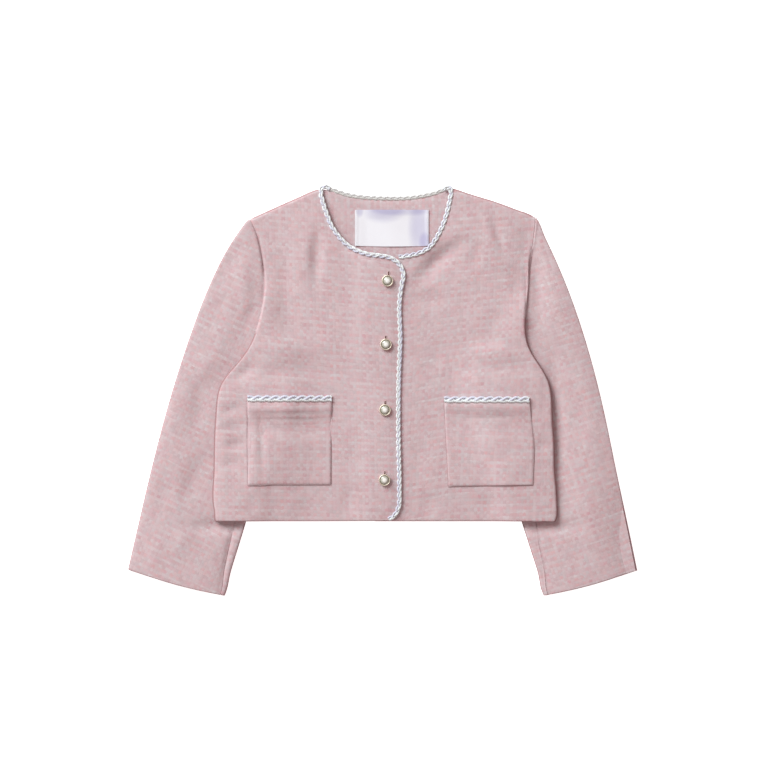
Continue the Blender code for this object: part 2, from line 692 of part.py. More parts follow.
def make_pocket(side, surface):
    """A patch pocket, its edges turned under and pressed flat."""
    pocket = POCKETS[side.name]
    patch = Patch(
        Line([pocket.low_outer, pocket.low_inner]), Line([pocket.high_outer, pocket.high_inner]),
        Line([pocket.low_outer, pocket.bow, pocket.high_outer]), Line([pocket.low_inner, pocket.high_inner]),
    )
    steps = GridLines(POCKET_STEPS, POCKET_STEPS, POCKET_CELLS).shares(1.0)
    plan = np.array([[patch(u, v) for u in steps] for v in steps])
    heights = settled(plan, surface)
    outer, inner = np.dstack((plan, heights)), np.dstack((plan, heights))
    for i, v in enumerate(steps):
        for j, u in enumerate(steps):
            from_edge = min(u, 1.0 - u, v) * patch.width(0.5)
            outer[i, j, 2] += WALL * (POCKET_RIM + (1.0 - POCKET_RIM) * rounding(from_edge, SEAM_ROUND))
    return add_wall(f"pocket_{side.name}", outer, inner, "tweed")


def add_braid(name, line, surface, start=0.0, end=1.0):
    """A flat plait along a line, with a bulge at each pitch, lying on a surface."""
    run = line.length * (end - start)
    stations = 2 * max(2, round(run / BRAID_PITCH)) + 1
    rings = []
    for k in range(stations):
        share = start + (end - start) * k / (stations - 1)
        middle, sideways = line(share), line.normal(share)
        size = 1.0 if k % 2 else BRAID_WAIST
        half = 0.5 * BRAID_WIDTH * size
        forward = np.array((-sideways[1], sideways[0]))
        under = [
            surface.height(*(middle + t * half * sideways + f * 0.25 * BRAID_PITCH * forward))
            for t in (-1.0, -0.5, 0.0, 0.5, 1.0) for f in (-1.0, 0.0, 1.0)
        ]
        base = max(h for h in under if h is not None) + GAP
        tall = BRAID_HEIGHT * size
        rings.append([(*(middle + a * half * sideways), base + b * tall) for a, b in BRAID_SECTION])
    sides = len(BRAID_SECTION)
    points = [p for ring in rings for p in ring]
    faces = [tuple(reversed(range(sides))), tuple(range(len(points) - sides, len(points)))]
    for k in range(stations - 1):
        for j in range(sides):
            here, after = k * sides + j, k * sides + (j + 1) % sides
            faces.append((here, after, after + sides, here + sides))
    return add_object(name, points, faces, "braid")


def make_button(number, place, surface):
    """A pearl dome in a turned metal cup."""
    x, y = place
    reach = (-0.8 * BUTTON_RADIUS, 0.0, 0.8 * BUTTON_RADIUS)
    base = max(surface.height(x + dx, y + dy) for dx in reach for dy in reach) + GAP
    bore = PEARL_RADIUS + GAP
    cup = [(r * BUTTON_RADIUS, h * BUTTON_HEIGHT) for r, h in RIM_PROFILE]
    cup = [(0.0, 0.0)] + cup + [(bore, 0.7 * BUTTON_HEIGHT), (bore, CUP_FLOOR), (0.0, CUP_FLOOR)]
    add_turned(f"button_rim_{number}", cup, (x, y, base), "rim")
    seat = CUP_FLOOR + GAP
    pearl = [(r * PEARL_RADIUS, seat + h * PEARL_HEIGHT) for r, h in PEARL_PROFILE]
    pearl = [(0.0, seat)] + pearl + [(0.0, seat + PEARL_HEIGHT)]
    add_turned(f"button_pearl_{number}", pearl, (x, y, base), "pearl")


def make_label(surface):
    """A bare satin label, sewn to the inside of the back below the neck."""
    outer, inner = [], []
    for y in np.linspace(LABEL_LOW, LABEL_HIGH, 4):
        outer.append([])
        inner.append([])
        for x in np.linspace(LABEL_LEFT, LABEL_RIGHT, 6):
            base = surface.height(x, y) + GAP
            outer[-1].append((x, y, base + LABEL_WALL))
            inner[-1].append((x, y, base))
    return add_wall("label_neck", outer, inner, "satin")


# ---- the jacket ---------------------------------------------------------------------------------
FRONT_PATCH = {
    "right": front_patch(RIGHT, RIGHT_EDGE_LINE),
    "left": front_patch(LEFT, LEFT_EDGE_LINE),
}


def main():
    for thing in list(bpy.data.objects):
        bpy.data.objects.remove(thing)

    for side in (RIGHT, LEFT):
        make_sleeve(side)
    back = make_back()

    right_walls = make_front(RIGHT, FRONT_PATCH["right"], FRONT_COLUMNS, FRONT_ROWS, right_lap)
    front_right = add_wall("front_right", *right_walls, "tweed")
    left_walls = make_front(LEFT, FRONT_PATCH["left"], FRONT_COLUMNS + 1, FRONT_ROWS, no_lap)
    front_left = add_wall("front_left", *left_walls, "tweed")

    on_right, on_left, on_back = Surface(front_right), Surface(front_left), Surface(back)
    pocket_right = make_pocket(RIGHT, on_right)
    pocket_left = make_pocket(LEFT, on_left)

    for side, pocket in ((RIGHT, pocket_right), (LEFT, pocket_left)):
        corners = sorted((POCKETS[side.name].high_inner, POCKETS[side.name].high_outer))
        line = Line(corners).moved(BRAID_OVERHANG, 4)
        add_braid(f"trim_pocket_{side.name}", line, Surface(pocket), 1.0 - BRAID_ENDS, BRAID_ENDS)

    add_braid("trim_front_right", Line(RIGHT_EDGE_LINE), on_right, 0.0, BRAID_ENDS)
    left_line = Line(LEFT_EDGE_LINE)
    shows = float(left_line.share[left_line.points[:, 0] > LEFT_NECK_FROM][0])
    add_braid("trim_neck_left", left_line, on_left, shows, BRAID_ENDS)
    add_braid("trim_neck_back", Line(BACK_NECK_LINE), on_back)

    for number, place in enumerate(BUTTON_PLACES, 1):
        make_button(number, place, on_right)
    make_label(on_back)


main()
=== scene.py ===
# %% [markdown]
# # A cropped tweed jacket, laid flat
#
# The frame already holds the jacket as plain solids at their real size. This script gives them their
# looks: soft cloth with creases, a woven tweed, plaited braid, pearl buttons and a satin label.
# Lengths below are millimetres, and MM turns them into metres where Blender needs them. The jacket
# lies on z = 0 with its neck towards +Y. "Right" and "left" are the wearer's, so right is at -X.

# %% The frame
import math
from collections import namedtuple

import bmesh
import bpy
import numpy as np
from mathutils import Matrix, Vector, noise
from mathutils.bvhtree import BVHTree


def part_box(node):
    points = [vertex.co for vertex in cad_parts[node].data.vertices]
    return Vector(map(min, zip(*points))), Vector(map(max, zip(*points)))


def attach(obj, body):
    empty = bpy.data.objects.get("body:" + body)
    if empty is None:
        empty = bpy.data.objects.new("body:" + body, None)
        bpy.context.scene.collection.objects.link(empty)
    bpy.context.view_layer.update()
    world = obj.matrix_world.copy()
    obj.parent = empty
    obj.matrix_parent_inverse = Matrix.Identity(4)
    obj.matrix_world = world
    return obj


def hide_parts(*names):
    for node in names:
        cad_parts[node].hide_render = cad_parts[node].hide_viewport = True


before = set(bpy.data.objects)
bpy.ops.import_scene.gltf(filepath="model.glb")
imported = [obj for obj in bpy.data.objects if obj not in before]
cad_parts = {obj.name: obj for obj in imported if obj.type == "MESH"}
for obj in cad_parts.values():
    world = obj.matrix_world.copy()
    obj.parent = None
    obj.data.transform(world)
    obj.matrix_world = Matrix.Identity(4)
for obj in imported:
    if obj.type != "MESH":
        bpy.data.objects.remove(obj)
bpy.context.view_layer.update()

MM = 0.001
print("solids in the frame:", len(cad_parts))

# %% [markdown]
# ## The picture
#
# The jacket is looked at from straight above, through a long lens from far up that keeps the edges as
# they are cut. The floor is plain and nearly white, and shines a little itself, so that shadows on it
# stay faint. One broad lamp, low and far away to the upper left, draws the creases. It is a trace
# cool, and a warm pale sky fills the shadows, so that they come out brown on pink cloth.

# %% Camera, floor and lamps
PICTURE_WIDTH = 842.4  # of jacket and floor, from side to side of the picture
PICTURE_MIDDLE = (7.8, 0.3)
CAMERA_HEIGHT = 2600
CLOTH_HEIGHT = 7  # where that width is measured
SENSOR = 36


def add_object(name, data):
    thing = bpy.data.objects.new(name, data)
    bpy.context.collection.objects.link(thing)
    return thing


lens = bpy.data.cameras.new("camera")
lens.sensor_width = SENSOR
lens.lens = SENSOR * (CAMERA_HEIGHT - CLOTH_HEIGHT) / PICTURE_WIDTH
camera = add_object("camera", lens)
camera.location = (PICTURE_MIDDLE[0] * MM, PICTURE_MIDDLE[1] * MM, CAMERA_HEIGHT * MM)
bpy.context.scene.camera = camera
bpy.context.scene.view_settings.view_transform = "Standard"

LAMP_PLACE = (-5.8, 6.1, 5)  # metres
LAMP_SIZE = 5.4
LAMP_WATTS = 1375
lamp_data = bpy.data.lights.new("key_lamp", "AREA")
lamp_data.shape = "SQUARE"
lamp_data.size = LAMP_SIZE
lamp_data.energy = LAMP_WATTS
lamp_data.color = (0.915, 1, 1)
lamp = add_object("key_lamp", lamp_data)
lamp.location = LAMP_PLACE
lamp.rotation_euler = (-Vector(LAMP_PLACE)).to_track_quat("-Z", "Y").to_euler()

world = bpy.data.worlds.new("studio")
world.use_nodes = True
sky = world.node_tree.nodes["Background"].inputs
sky["Color"].default_value = (1, 0.81, 0.79, 1)
sky["Strength"].default_value = 0.44
bpy.context.scene.world = world

FLOOR_REACH = 6  # metres, each way
FLOOR_HEIGHT = -0.0001  # just below the cloth
floor_mesh = bpy.data.meshes.new("floor")
ways = ((-1, -1), (1, -1), (1, 1), (-1, 1))
corners = [(x * FLOOR_REACH, y * FLOOR_REACH, FLOOR_HEIGHT) for x, y in ways]
floor_mesh.from_pydata(corners, [], [(0, 1, 2, 3)])
floor = add_object("floor", floor_mesh)

# %% [markdown]
# ## Writing node trees as sums
#
# Trees of nodes are hard to read link by link. So a `Value` stands for what comes out of a node, and
# ordinary sums on it add the Math nodes. Every other node comes from one method, `Graph.add`, which
# takes its type, what goes into it, and its settings.

# %% Values and graphs
def joined_by(operation):
    return lambda self, other: self.graph.math(operation, self, other)


class Value:
    """What comes out of a node. Sums on it add Math nodes."""

    __add__ = __radd__ = joined_by("ADD")
    __sub__ = joined_by("SUBTRACT")
    __mul__ = __rmul__ = joined_by("MULTIPLY")
    __truediv__ = joined_by("DIVIDE")
    __mod__ = joined_by("FLOORED_MODULO")

    def __init__(self, graph, socket):
        self.graph, self.socket = graph, socket

    def __rsub__(self, other):
        return self.graph.math("SUBTRACT", other, self)

    def __abs__(self):
        return self.graph.math("ABSOLUTE", self)


class Graph:
    """A node tree under construction. Most of its nodes are of one family."""

    family = "ShaderNode"

    def __init__(self, tree):
        self.tree = tree

    def feed(self, socket, value):
        if isinstance(value, Value):
            self.tree.links.new(value.socket, socket)
        elif socket.type == "RGBA":
            socket.default_value = (*value, 1)
        else:
            socket.default_value = value

    def add(self, kind, values=None, output=0, **settings):
        """Any node: its type, what goes into its sockets, which output counts, and its settings."""
        node = self.tree.nodes.new(kind if "Node" in kind else self.family + kind)
        for name, setting in settings.items():
            setattr(node, name, setting)
        for key, value in (values or {}).items():
            self.feed(node.inputs[key], value)
        return Value(self, node.outputs[output])

    def math(self, operation, first, second=0):
        return self.add("ShaderNodeMath", {0: first, 1: second}, operation=operation)

    def vector(self, x, y, z=0):
        return self.add("ShaderNodeCombineXYZ", {0: x, 1: y, 2: z})

    def parts(self, vector):
        """The three numbers of a vector or of a colour."""
        node = self.add("ShaderNodeSeparateXYZ", {0: vector}).socket.node
        return [Value(self, socket) for socket in node.outputs]

    def soft_step(self, value, low, high):
        """0 below low, 1 above high, and a soft ramp between."""
        values = {"Value": value, "From Min": low, "From Max": high}
        return self.add("ShaderNodeMapRange", values, interpolation_type="SMOOTHSTEP")


class Paint(Graph):
    """A material under construction, around its Principled shader."""

    def __init__(self, name, roughness, metallic=0):
        self.material = bpy.data.materials.new(name)
        self.material.use_nodes = True
        super().__init__(self.material.node_tree)
        self.shader = self.tree.nodes["Principled BSDF"]
        self.set("Roughness", roughness)
        self.set("Metallic", metallic)

    def set(self, socket, value):
        self.feed(self.shader.inputs[socket], value)

    def mix(self, share, first, second):
        """A colour between two colours."""
        return self.add("Mix", {0: share, 6: first, 7: second}, 2, data_type="RGBA")

    def noise(self, place, scale, detail=2):
        """Soft noise from 0 to 1."""
        return self.add("TexNoise", {"Vector": place, "Scale": scale, "Detail": detail})

    def number(self, name):
        """A number that each point of the mesh carries."""
        return self.add("Attribute", output=2, attribute_name=name)

    def place(self):
        """Where a point lies, in the piece's own coordinates."""
        return self.add("TexCoord", output=3)

    def bump(self, height, deep):
        """Relief from a height of 0 to 1 that stands for deep millimetres."""
        values = {"Strength": 1, "Distance": deep * MM, "Height": height}
        self.set("Normal", self.add("Bump", values))


floor_paint = Paint("floor", 0.9)
floor_paint.set("Base Color", (0.86, 0.86, 0.86))
floor_paint.set("Emission Color", (1, 1, 1))
floor_paint.set("Emission Strength", 0.8)
floor_mesh.materials.append(floor_paint.material)

# %% [markdown]
# ## Tweed
#
# This tweed is a plain weave of thick soft yarns, one every 3.5 mm both ways. In the warp and in the
# weft, rose yarns take turns with grey-white ones, so whole rows come out rosy or pale, with a
# stronger rose spot wherever a rose warp yarn lies on top. Some stretches of yarn swell into white
# slubs, and no two spots have quite the same colour. The pattern is worked out from a UV map named
# "cut", which gives millimetres across and along each piece as it was cut. So the rows turn with the
# cloth, and meet at an angle at the armholes. Shade is painted into the colour: darker in the gaps
# between the yarns, and darker where the cloth turns over an edge or goes down into a seam, by a
# number on every point that says how much.

# %% The weave
YARN = 3.52  # from one yarn to the next
REPEAT = 6  # yarns until the order of colours starts again
PALE = (0.594, 0.543, 0.558)
WHITE = (0.740, 0.690, 0.700)
ROSE = (0.612, 0.318, 0.352)
SALMON = (0.636, 0.346, 0.362)
SHADE = (0.330, 0.220, 0.235)
# painted shade: the colour that edges and seams darken towards
EDGE_SHADE_COLOUR = (0.300, 0.150, 0.155)  # where the cloth turns over an edge or down into a seam


def make_tweed(name, wobble=0.35, swap=False):
    """swap turns the weave by a quarter, for the wrong side of the cloth."""
    paint = Paint(name, 0.92)
    paint.set("Specular IOR Level", 0.25)
    paint.set("Sheen Weight", 0.08)
    paint.set("Sheen Roughness", 0.55)
    across, along, _ = paint.parts(paint.add("UVMap", uv_map="cut"))
    if swap:
        across, along = along, across

    def grain(seed, scale, detail=1, stretch=(1, 1)):
        """Noise on the cloth, with scale in features a millimetre."""
        return paint.noise(paint.vector(across * stretch[0], along * stretch[1], seed), scale, detail)

    # the yarns wander a little, and their loops blur the line between one and the next
    fuzz, loops = grain(11, 1.1, 2) - 0.5, grain(23, 0.75, 1) - 0.5
    warp_wander = (grain(3, 0.055) - 0.5) * 2 + grain(5, 0.22) - 0.5
    weft_wander = (grain(7, 0.05) - 0.5) * 2 + grain(9, 0.2) - 0.5
    warp_place = across / YARN + warp_wander * wobble + (fuzz + loops) * 0.95
    weft_place = along / YARN + weft_wander * wobble + (fuzz - loops) * 0.95
    warp, weft = (paint.math("FLOOR", place) for place in (warp_place, weft_place))
    on_top = (warp + weft) % 2  # 1 where the weft yarn lies on top
    right, up = warp_place - warp - 0.5, weft_place - weft - 0.5
    side = abs(up * on_top + right * (1 - on_top))
    end = abs(right * on_top + up * (1 - on_top))
    yarn = weft * on_top + warp * (1 - on_top)
    rosy = 1 - yarn % 2

    # one spot is one crossing of two yarns
    chance = paint.add("TexWhiteNoise", {"Vector": paint.vector(warp, weft, 0.5)}, 1)
    dye, light, swell = paint.parts(chance)
    order = (yarn % REPEAT) / REPEAT

    body = 1 - side * side * 3.2 - end * end * 1.1  # of the yarn: 1 on its ridge
    body = paint.math("MAXIMUM", body, 0)

    # the rows show clearly here and fade out there
    clear = paint.soft_step(grain(37, 0.03), 0.36, 0.64) * 0.75 + 0.35
    # 0 for a pale spot, 1 for a strong rose one
    strong = (rosy - 0.5) * clear * 0.22 + (0.5 - on_top) * (rosy * 0.11 + 0.08) + 0.320
    strong = strong + (dye - 0.5) * (rosy * 0.14 + 0.22) + (grain(13, 0.09) - 0.5) * 0.40
    strong = strong + (grain(29, 0.24) - 0.5) * 0.36 + fuzz * 0.3
    # single yarns, both ways, are paler or rosier over a long stretch
    streak = grain(41, 0.34, stretch=(0.07, 1)) + grain(43, 0.34, stretch=(1, 0.06)) - 1
    strong = strong + streak * 0.32
    slub = paint.soft_step(grain(17, 0.28, stretch=(0.15, 1)), 0.56, 0.76)
    slub = slub * (1 - rosy) * (on_top * 0.4 + light * 0.8 + 0.1)
    red = paint.mix(paint.soft_step(order + (dye - 0.5) * 0.5, 0.25, 0.6), ROSE, SALMON)
    yarn_colour = paint.mix(strong * 0.87 + 0.13, PALE, red)
    white_share = slub * 0.36 + paint.soft_step(swell, 0.80, 1) * (1 - rosy) * 0.06
    yarn_colour = paint.mix(white_share, yarn_colour, WHITE)
    # painted shade in the gaps between the yarns' ridges; the other terms are darker tone at random
    dark = (1 - paint.soft_step(body, 0, 0.85)) * 0.08 + (light - 0.5) * 0.31 + fuzz * 0.08
    dark = dark + (grain(19, 0.03, 2) - 0.5) * 0.08 + (grain(31, 0.14) - 0.5) * 0.14
    weave = paint.mix(dark + 0.03, yarn_colour, SHADE)
    # painted shade at the edges and in the seams, from the number on each point
    paint.set("Base Color", paint.mix(paint.number("edge_shade") * 0.92, weave, EDGE_SHADE_COLOUR))
    paint.bump(body * (0.7 + 0.3 * swell) + fuzz * 0.5, 0.10)
    return paint.material


tweed = make_tweed("tweed")
tweed_inside = make_tweed("tweed_inside", wobble=0.5, swap=True)

# %% [markdown]
# ## Cloth from its solid
#
# A piece of cloth starts as its solid, so it lies just where the solid lies. The solid's triangles
# are joined and paired back into rows and columns, and subdivision turns that coarse grid into a soft
# skin. Then the points on the upper side are moved by the creases, a table of soft troughs and ridges,
# and by a little unevenness of the hand.

# %% Creases
Crease = namedtuple("Crease", "x y heading length width height bend")
CREASES = (
    # right front: down from the shoulder
    (-69, 141, 87, 104, 12, -1.9, 3),
    (-80, 146, 90, 70, 12, 0.8, 2),
    (-110, 118, 93, 130, 16, -0.8, -5),
    # a long dent above the pocket
    (-98, 44, -1, 150, 18, 1, 3),
    (-102, 17, -1, 150, 18, -1.2, 2),
    # soften the step where the sleeve under it ends
    (-120, -58, 88, 220, 20, -1, -2),
    (-95.5, -65, 77, 260, 31, 2.2, 0),
    # beside the pocket
    (-151, -58, 88, 130, 34, -2, 0),
    # pulls towards the underarm
    (-143, 76, 70, 46, 10, -0.9, 3),
    (-150, 22, 40, 44, 11, -1.1, -3),
    (-164, -22, 12, 36, 9, -1.1, 1),
    (-162, -40, -6, 34, 9, -1, 0),
    (-160, -58, 8, 36, 10, -1.2, -1.5),
    (-166, -80, -3, 30, 10, -0.8, 0),
    (-138, -124, 82, 36, 14, -0.9, 3),
    (-96, -122, 94, 34, 16, 0.6, 0),
    (-40, -118, 86, 46, 14, -1, -3),
    (-24, -60, 88, 90, 14, -0.6, 2),
    # left front: the deep one below the neck, and its neighbours
    (63, 136, 41, 108, 18, -2.5, 5.5),
    (58, 145, 42, 96, 13, 1.4, 5),
    (78, 124, 41, 110, 24, -0.7, 4),
    (50, 96, -6, 60, 14, -1, 3),
    (98, 150, 78, 60, 12, -0.8, -4),
    (128, 168, -71, 66, 9, -1.4, -4),
    (116, 172, -66, 56, 12, 0.7, 0),
    # it rises towards the sleeve
    (150, 130, 97, 110, 16, 0.7, -2),
    (116, 85, 47, 130, 32, 1.2, 0),
    (141, 128, 96, 100, 12, -0.7, -3),
    (120, 50, -14, 76, 16, -0.9, 3),
    (116, 22, 4, 92, 16, -1, 2),
    (114, 40, 2, 90, 16, 0.7, 2),
    (58, 30, 64, 60, 16, -0.8, 4),
    (150, 22, -34, 46, 10, -0.8, 2),
    (42, -70, 88, 90, 13, -0.7, 3),
    (173, -60, 2, 24, 10, -0.8, 0),
    (52, -124, 96, 34, 14, -0.8, 2),
    (118, -124, 88, 34, 16, -0.8, -2),
    # right sleeve: high along the armhole, then long soft dents
    (-146, 106, 96, 100, 13, 1.3, 3),
    (-166, 128, 66, 80, 16, -1, 4),
    (-178, 76, 70, 96, 18, -1, 5),
    (-204, -16, 84, 96, 17, -1.6, -6),
    (-222, -30, 78, 84, 16, 0.8, 4),
    (-190, 18, 62, 70, 15, 0.7, 4),
    (-201, -98, 70, 80, 18, -1.5, 4),
    (-236, -112, 76, 76, 15, -0.9, 0),
    (-214, -160, 62, 60, 16, 0.8, 3),
    (-244, -176, 84, 44, 13, 0.6, 0),
    # left sleeve: low beside the body, and bent down at the outer corner of its cuff
    (168, 124, 97, 130, 22, -1.2, -3),
    (186, 104, -68, 80, 15, 0.9, -4),
    (196, 36, -64, 90, 17, -1.1, -5),
    (178, 6, -86, 60, 12, -0.8, 0),
    (206, -20, -76, 96, 16, -1, 5),
    (228, -58, -72, 80, 16, 0.8, -3),
    (200, -98, -76, 90, 17, -1, -4),
    (214, -166, -64, 60, 15, -0.7, -3),
    (272, -178, -76, 190, 44, -4.8, 0),
)
FRONT_RIGHT_CREASES = (
    (-185, -58, 88.5, 230, 13, -1.5, -2),
)
FRONT_LEFT_CREASES = (
    (158, 134, 96.5, 150, 19, -2.3, -2),
)
POCKET_CREASES = (
    # right pocket: the step below its facing, and a crease down its outer side
    (-94, -20, 0, 230, 12, 1.2, 0.5),
    (-121, -21, 0, 80, 12, 0.8, 0),
    (-94, -41, 0, 200, 18, -1.7, 0.5),
    (-96, -25.5, 0, 130, 3.6, -0.45, 0.3),
    (-96, -32, 0, 130, 3.6, -0.45, 0.3),
    (-131, -62, 91, 104, 7.5, -1.15, -1),
    (-139, -62, 91, 104, 8, 0.5, -1),
    # left pocket
    (112, -19, -1, 200, 11, 1.5, 1),
    (114, -39, -1, 190, 26, -1.2, 1),
    (113, -29.5, 1, 76, 3.8, -0.5, -0.3),
    (128, -74, 24, 54, 14, -0.5, 2),
)
SLEEVE_CREASES = (
    # pressed down beside the left edge of the body, and under its hem
    (163, 122, 95, 160, 13, -1.7, -2),
    (170, 50, -58, 80, 11, -1.6, 2),
    (187, -34, 92, 190, 16, -3, 0),
    (-162, -147, 0, 140, 12, -2.6, 0),
    (168, -147, 0, 130, 12, -2.4, 0),
    # the seam of the right cuff
    (-168.5, -180, 78, 130, 5, -0.8, 0),
)


def crease_height(x, y, creases):
    """Sum of the creases at places in millimetres."""
    total = np.zeros_like(x)
    for crease in map(Crease._make, creases):
        turn = math.radians(crease.heading)
        along = (x - crease.x) * math.cos(turn) + (y - crease.y) * math.sin(turn)
        across = (y - crease.y) * math.cos(turn) - (x - crease.x) * math.sin(turn)
        share = np.clip(2 * np.abs(along) / crease.length, 0, 1)
        across = across - crease.bend * (1 - share ** 2)
        fade = (1 - share ** 2) ** 2
        total += crease.height * fade * np.exp(-0.5 * (2.4 * across / crease.width) ** 2)
    return total


HAND = ((60, 0.40), (24, 0.12), (9, 0.05))  # unevenness: size of a swelling, and height


def hand_height(points):
    return np.array([
        sum(high * noise.noise(Vector((x / size, y / size, size))) for size, high in HAND)
        for x, y, _ in points
    ])


# %% [markdown]
# A sleeve is sewn into its armhole, and the seam pulls both edges down into a narrow valley, which
# fades out at the shoulder. Each armhole is a line, and the valley is a function of the distance to
# it. The solids leave a small gap there, so the sleeve's edge is also drawn up to the line, and lower
# down it goes on a little way under the front.

# %% Armhole seams
Seam = namedtuple("Seam", "knots depth width fade_in fade_out tuck_in")
SEAMS = (
    Seam(
        (
            (-144.5, 185.4), (-138, 174.2), (-131.8, 150.4), (-128.7, 124.5), (-130.8, 92.1),
            (-137.2, 65.1),
        ),
        0.9, 2.2, (6, 30), (80, 120), (55, 75),
    ),
    Seam(
        ((163.9, 186.2), (163.2, 158), (159.7, 135.3), (158, 108.3), (155.3, 82)),
        0.7, 3, (22, 44), (95, 105), (26, 42),
    ),
)
PULL = 1.05  # how far a sleeve's edge is drawn to its seam
PULL_FROM = 3.5  # and from how far away
TUCK = 3  # how far the edge goes on under the front, lower down
SLEEVE_SEAM_YS = (-135, -150, -165, -195, -210, -222)
SLEEVE_SEAMS = (  # x of a sleeve's lower seam at those heights, and how flat it is
    ((-158.3, -161.6, -165, -171.8, -174.9, -177.4), 0.2),
    ((162.8, 165.7, 168.2, 174.8, 177.8, 180.4), 0.9),
)
SLEEVE_SEAMS = [(list(zip(xs, SLEEVE_SEAM_YS)), flat) for xs, flat in SLEEVE_SEAMS]
NEAR = 13  # nothing reaches farther than this from a seam or an edge
SHOULDER_RISE = 0.5
SEAM_RISE = 0.8  # of a flat sleeve seam
HUSH = 0.75  # how flat the armholes' edges are pressed


def ramp(value, low, high):
    """From 0 at low to 1 at high, with soft ends. With low above high it falls."""
    share = np.clip((value - low) / (high - low), 0, 1)
    return share * share * (3 - 2 * share)


def smooth_line(knots, step):
    """Points every step millimetres on a smooth line through the knots."""
    knots = np.array(knots, float)
    at = np.concatenate(([0], np.cumsum(np.linalg.norm(np.diff(knots, axis=0), axis=1))))
    slopes = np.gradient(knots, at, axis=0)
    s = np.linspace(0, at[-1], max(3, int(at[-1] / step)))
    k = np.clip(np.searchsorted(at, s, side="right") - 1, 0, len(at) - 2)
    span = (at[k + 1] - at[k])[:, None]
    t = (s - at[k])[:, None] / span
    chord = (knots[k + 1] - knots[k]) / span
    bend = (t - 2 * t**2 + t**3) * (slopes[k] - chord) - (t**2 - t**3) * (slopes[k + 1] - chord)
    return (1 - t) * knots[k] + t * knots[k + 1] + bend * span


def nearest_on(knots, step, x, y):
    """Which places lie near a smooth line, the way to it, its distance, and how far along it that is."""
    line = smooth_line(knots, step)
    low, high = line.min(axis=0) - NEAR, line.max(axis=0) + NEAR
    near = np.flatnonzero((x > low[0]) & (x < high[0]) & (y > low[1]) & (y < high[1]))
    offset = line[None, :, :] - np.stack((x[near], y[near]), -1)[:, None, :]
    distance = np.linalg.norm(offset, axis=2)
    nearest = np.argmin(distance, axis=1)
    rows = np.arange(len(near))
    along = nearest * np.linalg.norm(line[1] - line[0])
    distance = distance[rows, nearest]
    return near, offset[rows, nearest] / np.maximum(distance, 1e-6)[:, None], distance, along


def seam_height(x, y):
    total = np.zeros_like(x)
    for seam in SEAMS:
        near, _, distance, along = nearest_on(seam.knots, 1, x, y)
        strength = ramp(along, *seam.fade_in) * (1 - ramp(along, *seam.fade_out))
        total[near] -= seam.depth * strength * np.exp(-0.5 * (2 * distance / seam.width) ** 2)
    return total


def close_shoulder(points, up):
    """At the top of the left armhole both edges stay level with the cloth around them."""
    near, _, distance, along = nearest_on(SEAMS[1].knots, 0.5, *points.T[:2])
    rise = SHOULDER_RISE * ramp(distance, 3, 0.3) * ramp(along, 50, 20)
    points[near, 2] += rise * (up[near] > -0.1)


def draw_to_seams(points, up):
    """Close the small gaps that the solids leave at the seams of a sleeve."""
    for seam in SEAMS:
        near, way, distance, along = nearest_on(seam.knots, 0.5, *points.T[:2])
        inside = ramp(along, 0.3, 4) * ramp(along, 98, 82)
        reach = PULL * ramp(distance, PULL_FROM, 1) * inside
        points[near, :2] += way * reach[:, None]
        tuck = TUCK * ramp(along, *seam.tuck_in) * ramp(distance, 5, 1.5)
        points[near, 0] -= math.copysign(1, seam.knots[0][0]) * tuck
    close_shoulder(points, up)
    for knots, flat in SLEEVE_SEAMS:
        near, way, distance, _ = nearest_on(knots, 0.5, *points.T[:2])
        reach = np.minimum((0.4 + 0.55 * flat) * ramp(distance, 3, 0.9), distance)
        points[near, :2] += way * reach[:, None]
        points[near, 2] += SEAM_RISE * flat * ramp(distance, 2.4, 0.2) * (up[near] > -0.1)


def seam_hush(x, y):
    """How much of the painted edge shade stays: 0 on the seams of the sleeves, where both edges are
    pressed open, and 1 away from them.
    """
    hush = np.ones_like(x)
    for knots, flat in [(seam.knots, HUSH) for seam in SEAMS] + SLEEVE_SEAMS:
        near, _, distance, _ = nearest_on(knots, 1, x, y)
        hush[near] *= 1 - flat * ramp(distance, 4.5, 2)
    return hush


Push = namedtuple("Push", "x y right up reach")
PUSHES = (
    # the left sleeve's head is fuller, and hem and cuffs have squarer corners than subdivision leaves
    (166, 181, 1.5, 0.7, 8),
    (158, 192, 0, 1.8, 7),
    (182, -141, 5.4, -0.5, 11),
    (187, -108, 1, 0, 18),
    (186, -60, 1.2, 0, 20),
    (-180, -142, -2.8, -0.2, 6),
    (-171, -216, 2, 0, 10),
    (174.5, -216, -2.6, 0, 10),
)


def push_out(points, pushes):
    x, y = points.T[:2].copy()
    for push in map(Push._make, pushes):
        near = np.exp(-((x - push.x) ** 2 + (y - push.y) ** 2) / 2 / push.reach ** 2)
        points[:, 0] += push.right * near
        points[:, 1] += push.up * near


# %% Skin over a solid
JOIN = 1e-6
LEAST_WALL = 0.8  # what a dent leaves between the two sides of the cloth
WALL = 2


def plain_mesh(thing):
    """The object's finished mesh, with its modifiers worked in."""
    return bpy.data.meshes.new_from_object(thing.evaluated_get(bpy.context.evaluated_depsgraph_get()))


def skin(node, levels):
    """The solid's mesh with its triangles paired up, subdivided into a soft skin."""
    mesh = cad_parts[node].data.copy()
    work = bmesh.new()
    work.from_mesh(mesh)
    bmesh.ops.remove_doubles(work, verts=work.verts, dist=JOIN)
    bmesh.ops.join_triangles(
        work, faces=work.faces,
        angle_face_threshold=math.radians(60), angle_shape_threshold=math.radians(50),
    )
    work.to_mesh(mesh)
    work.free()
    mesh.materials.clear()
    rough = add_object(node + "_rough", mesh)
    smoother = rough.modifiers.new("soften", "SUBSURF")
    smoother.levels = smoother.render_levels = levels
    smooth = plain_mesh(rough)
    bpy.data.objects.remove(rough)
    return smooth


def read_points(mesh):
    points = np.empty(3 * len(mesh.vertices))
    mesh.vertices.foreach_get("co", points)
    return points.reshape(-1, 3) / MM


def write_points(mesh, points):
    mesh.vertices.foreach_set("co", (points * MM).ravel())
    mesh.update()


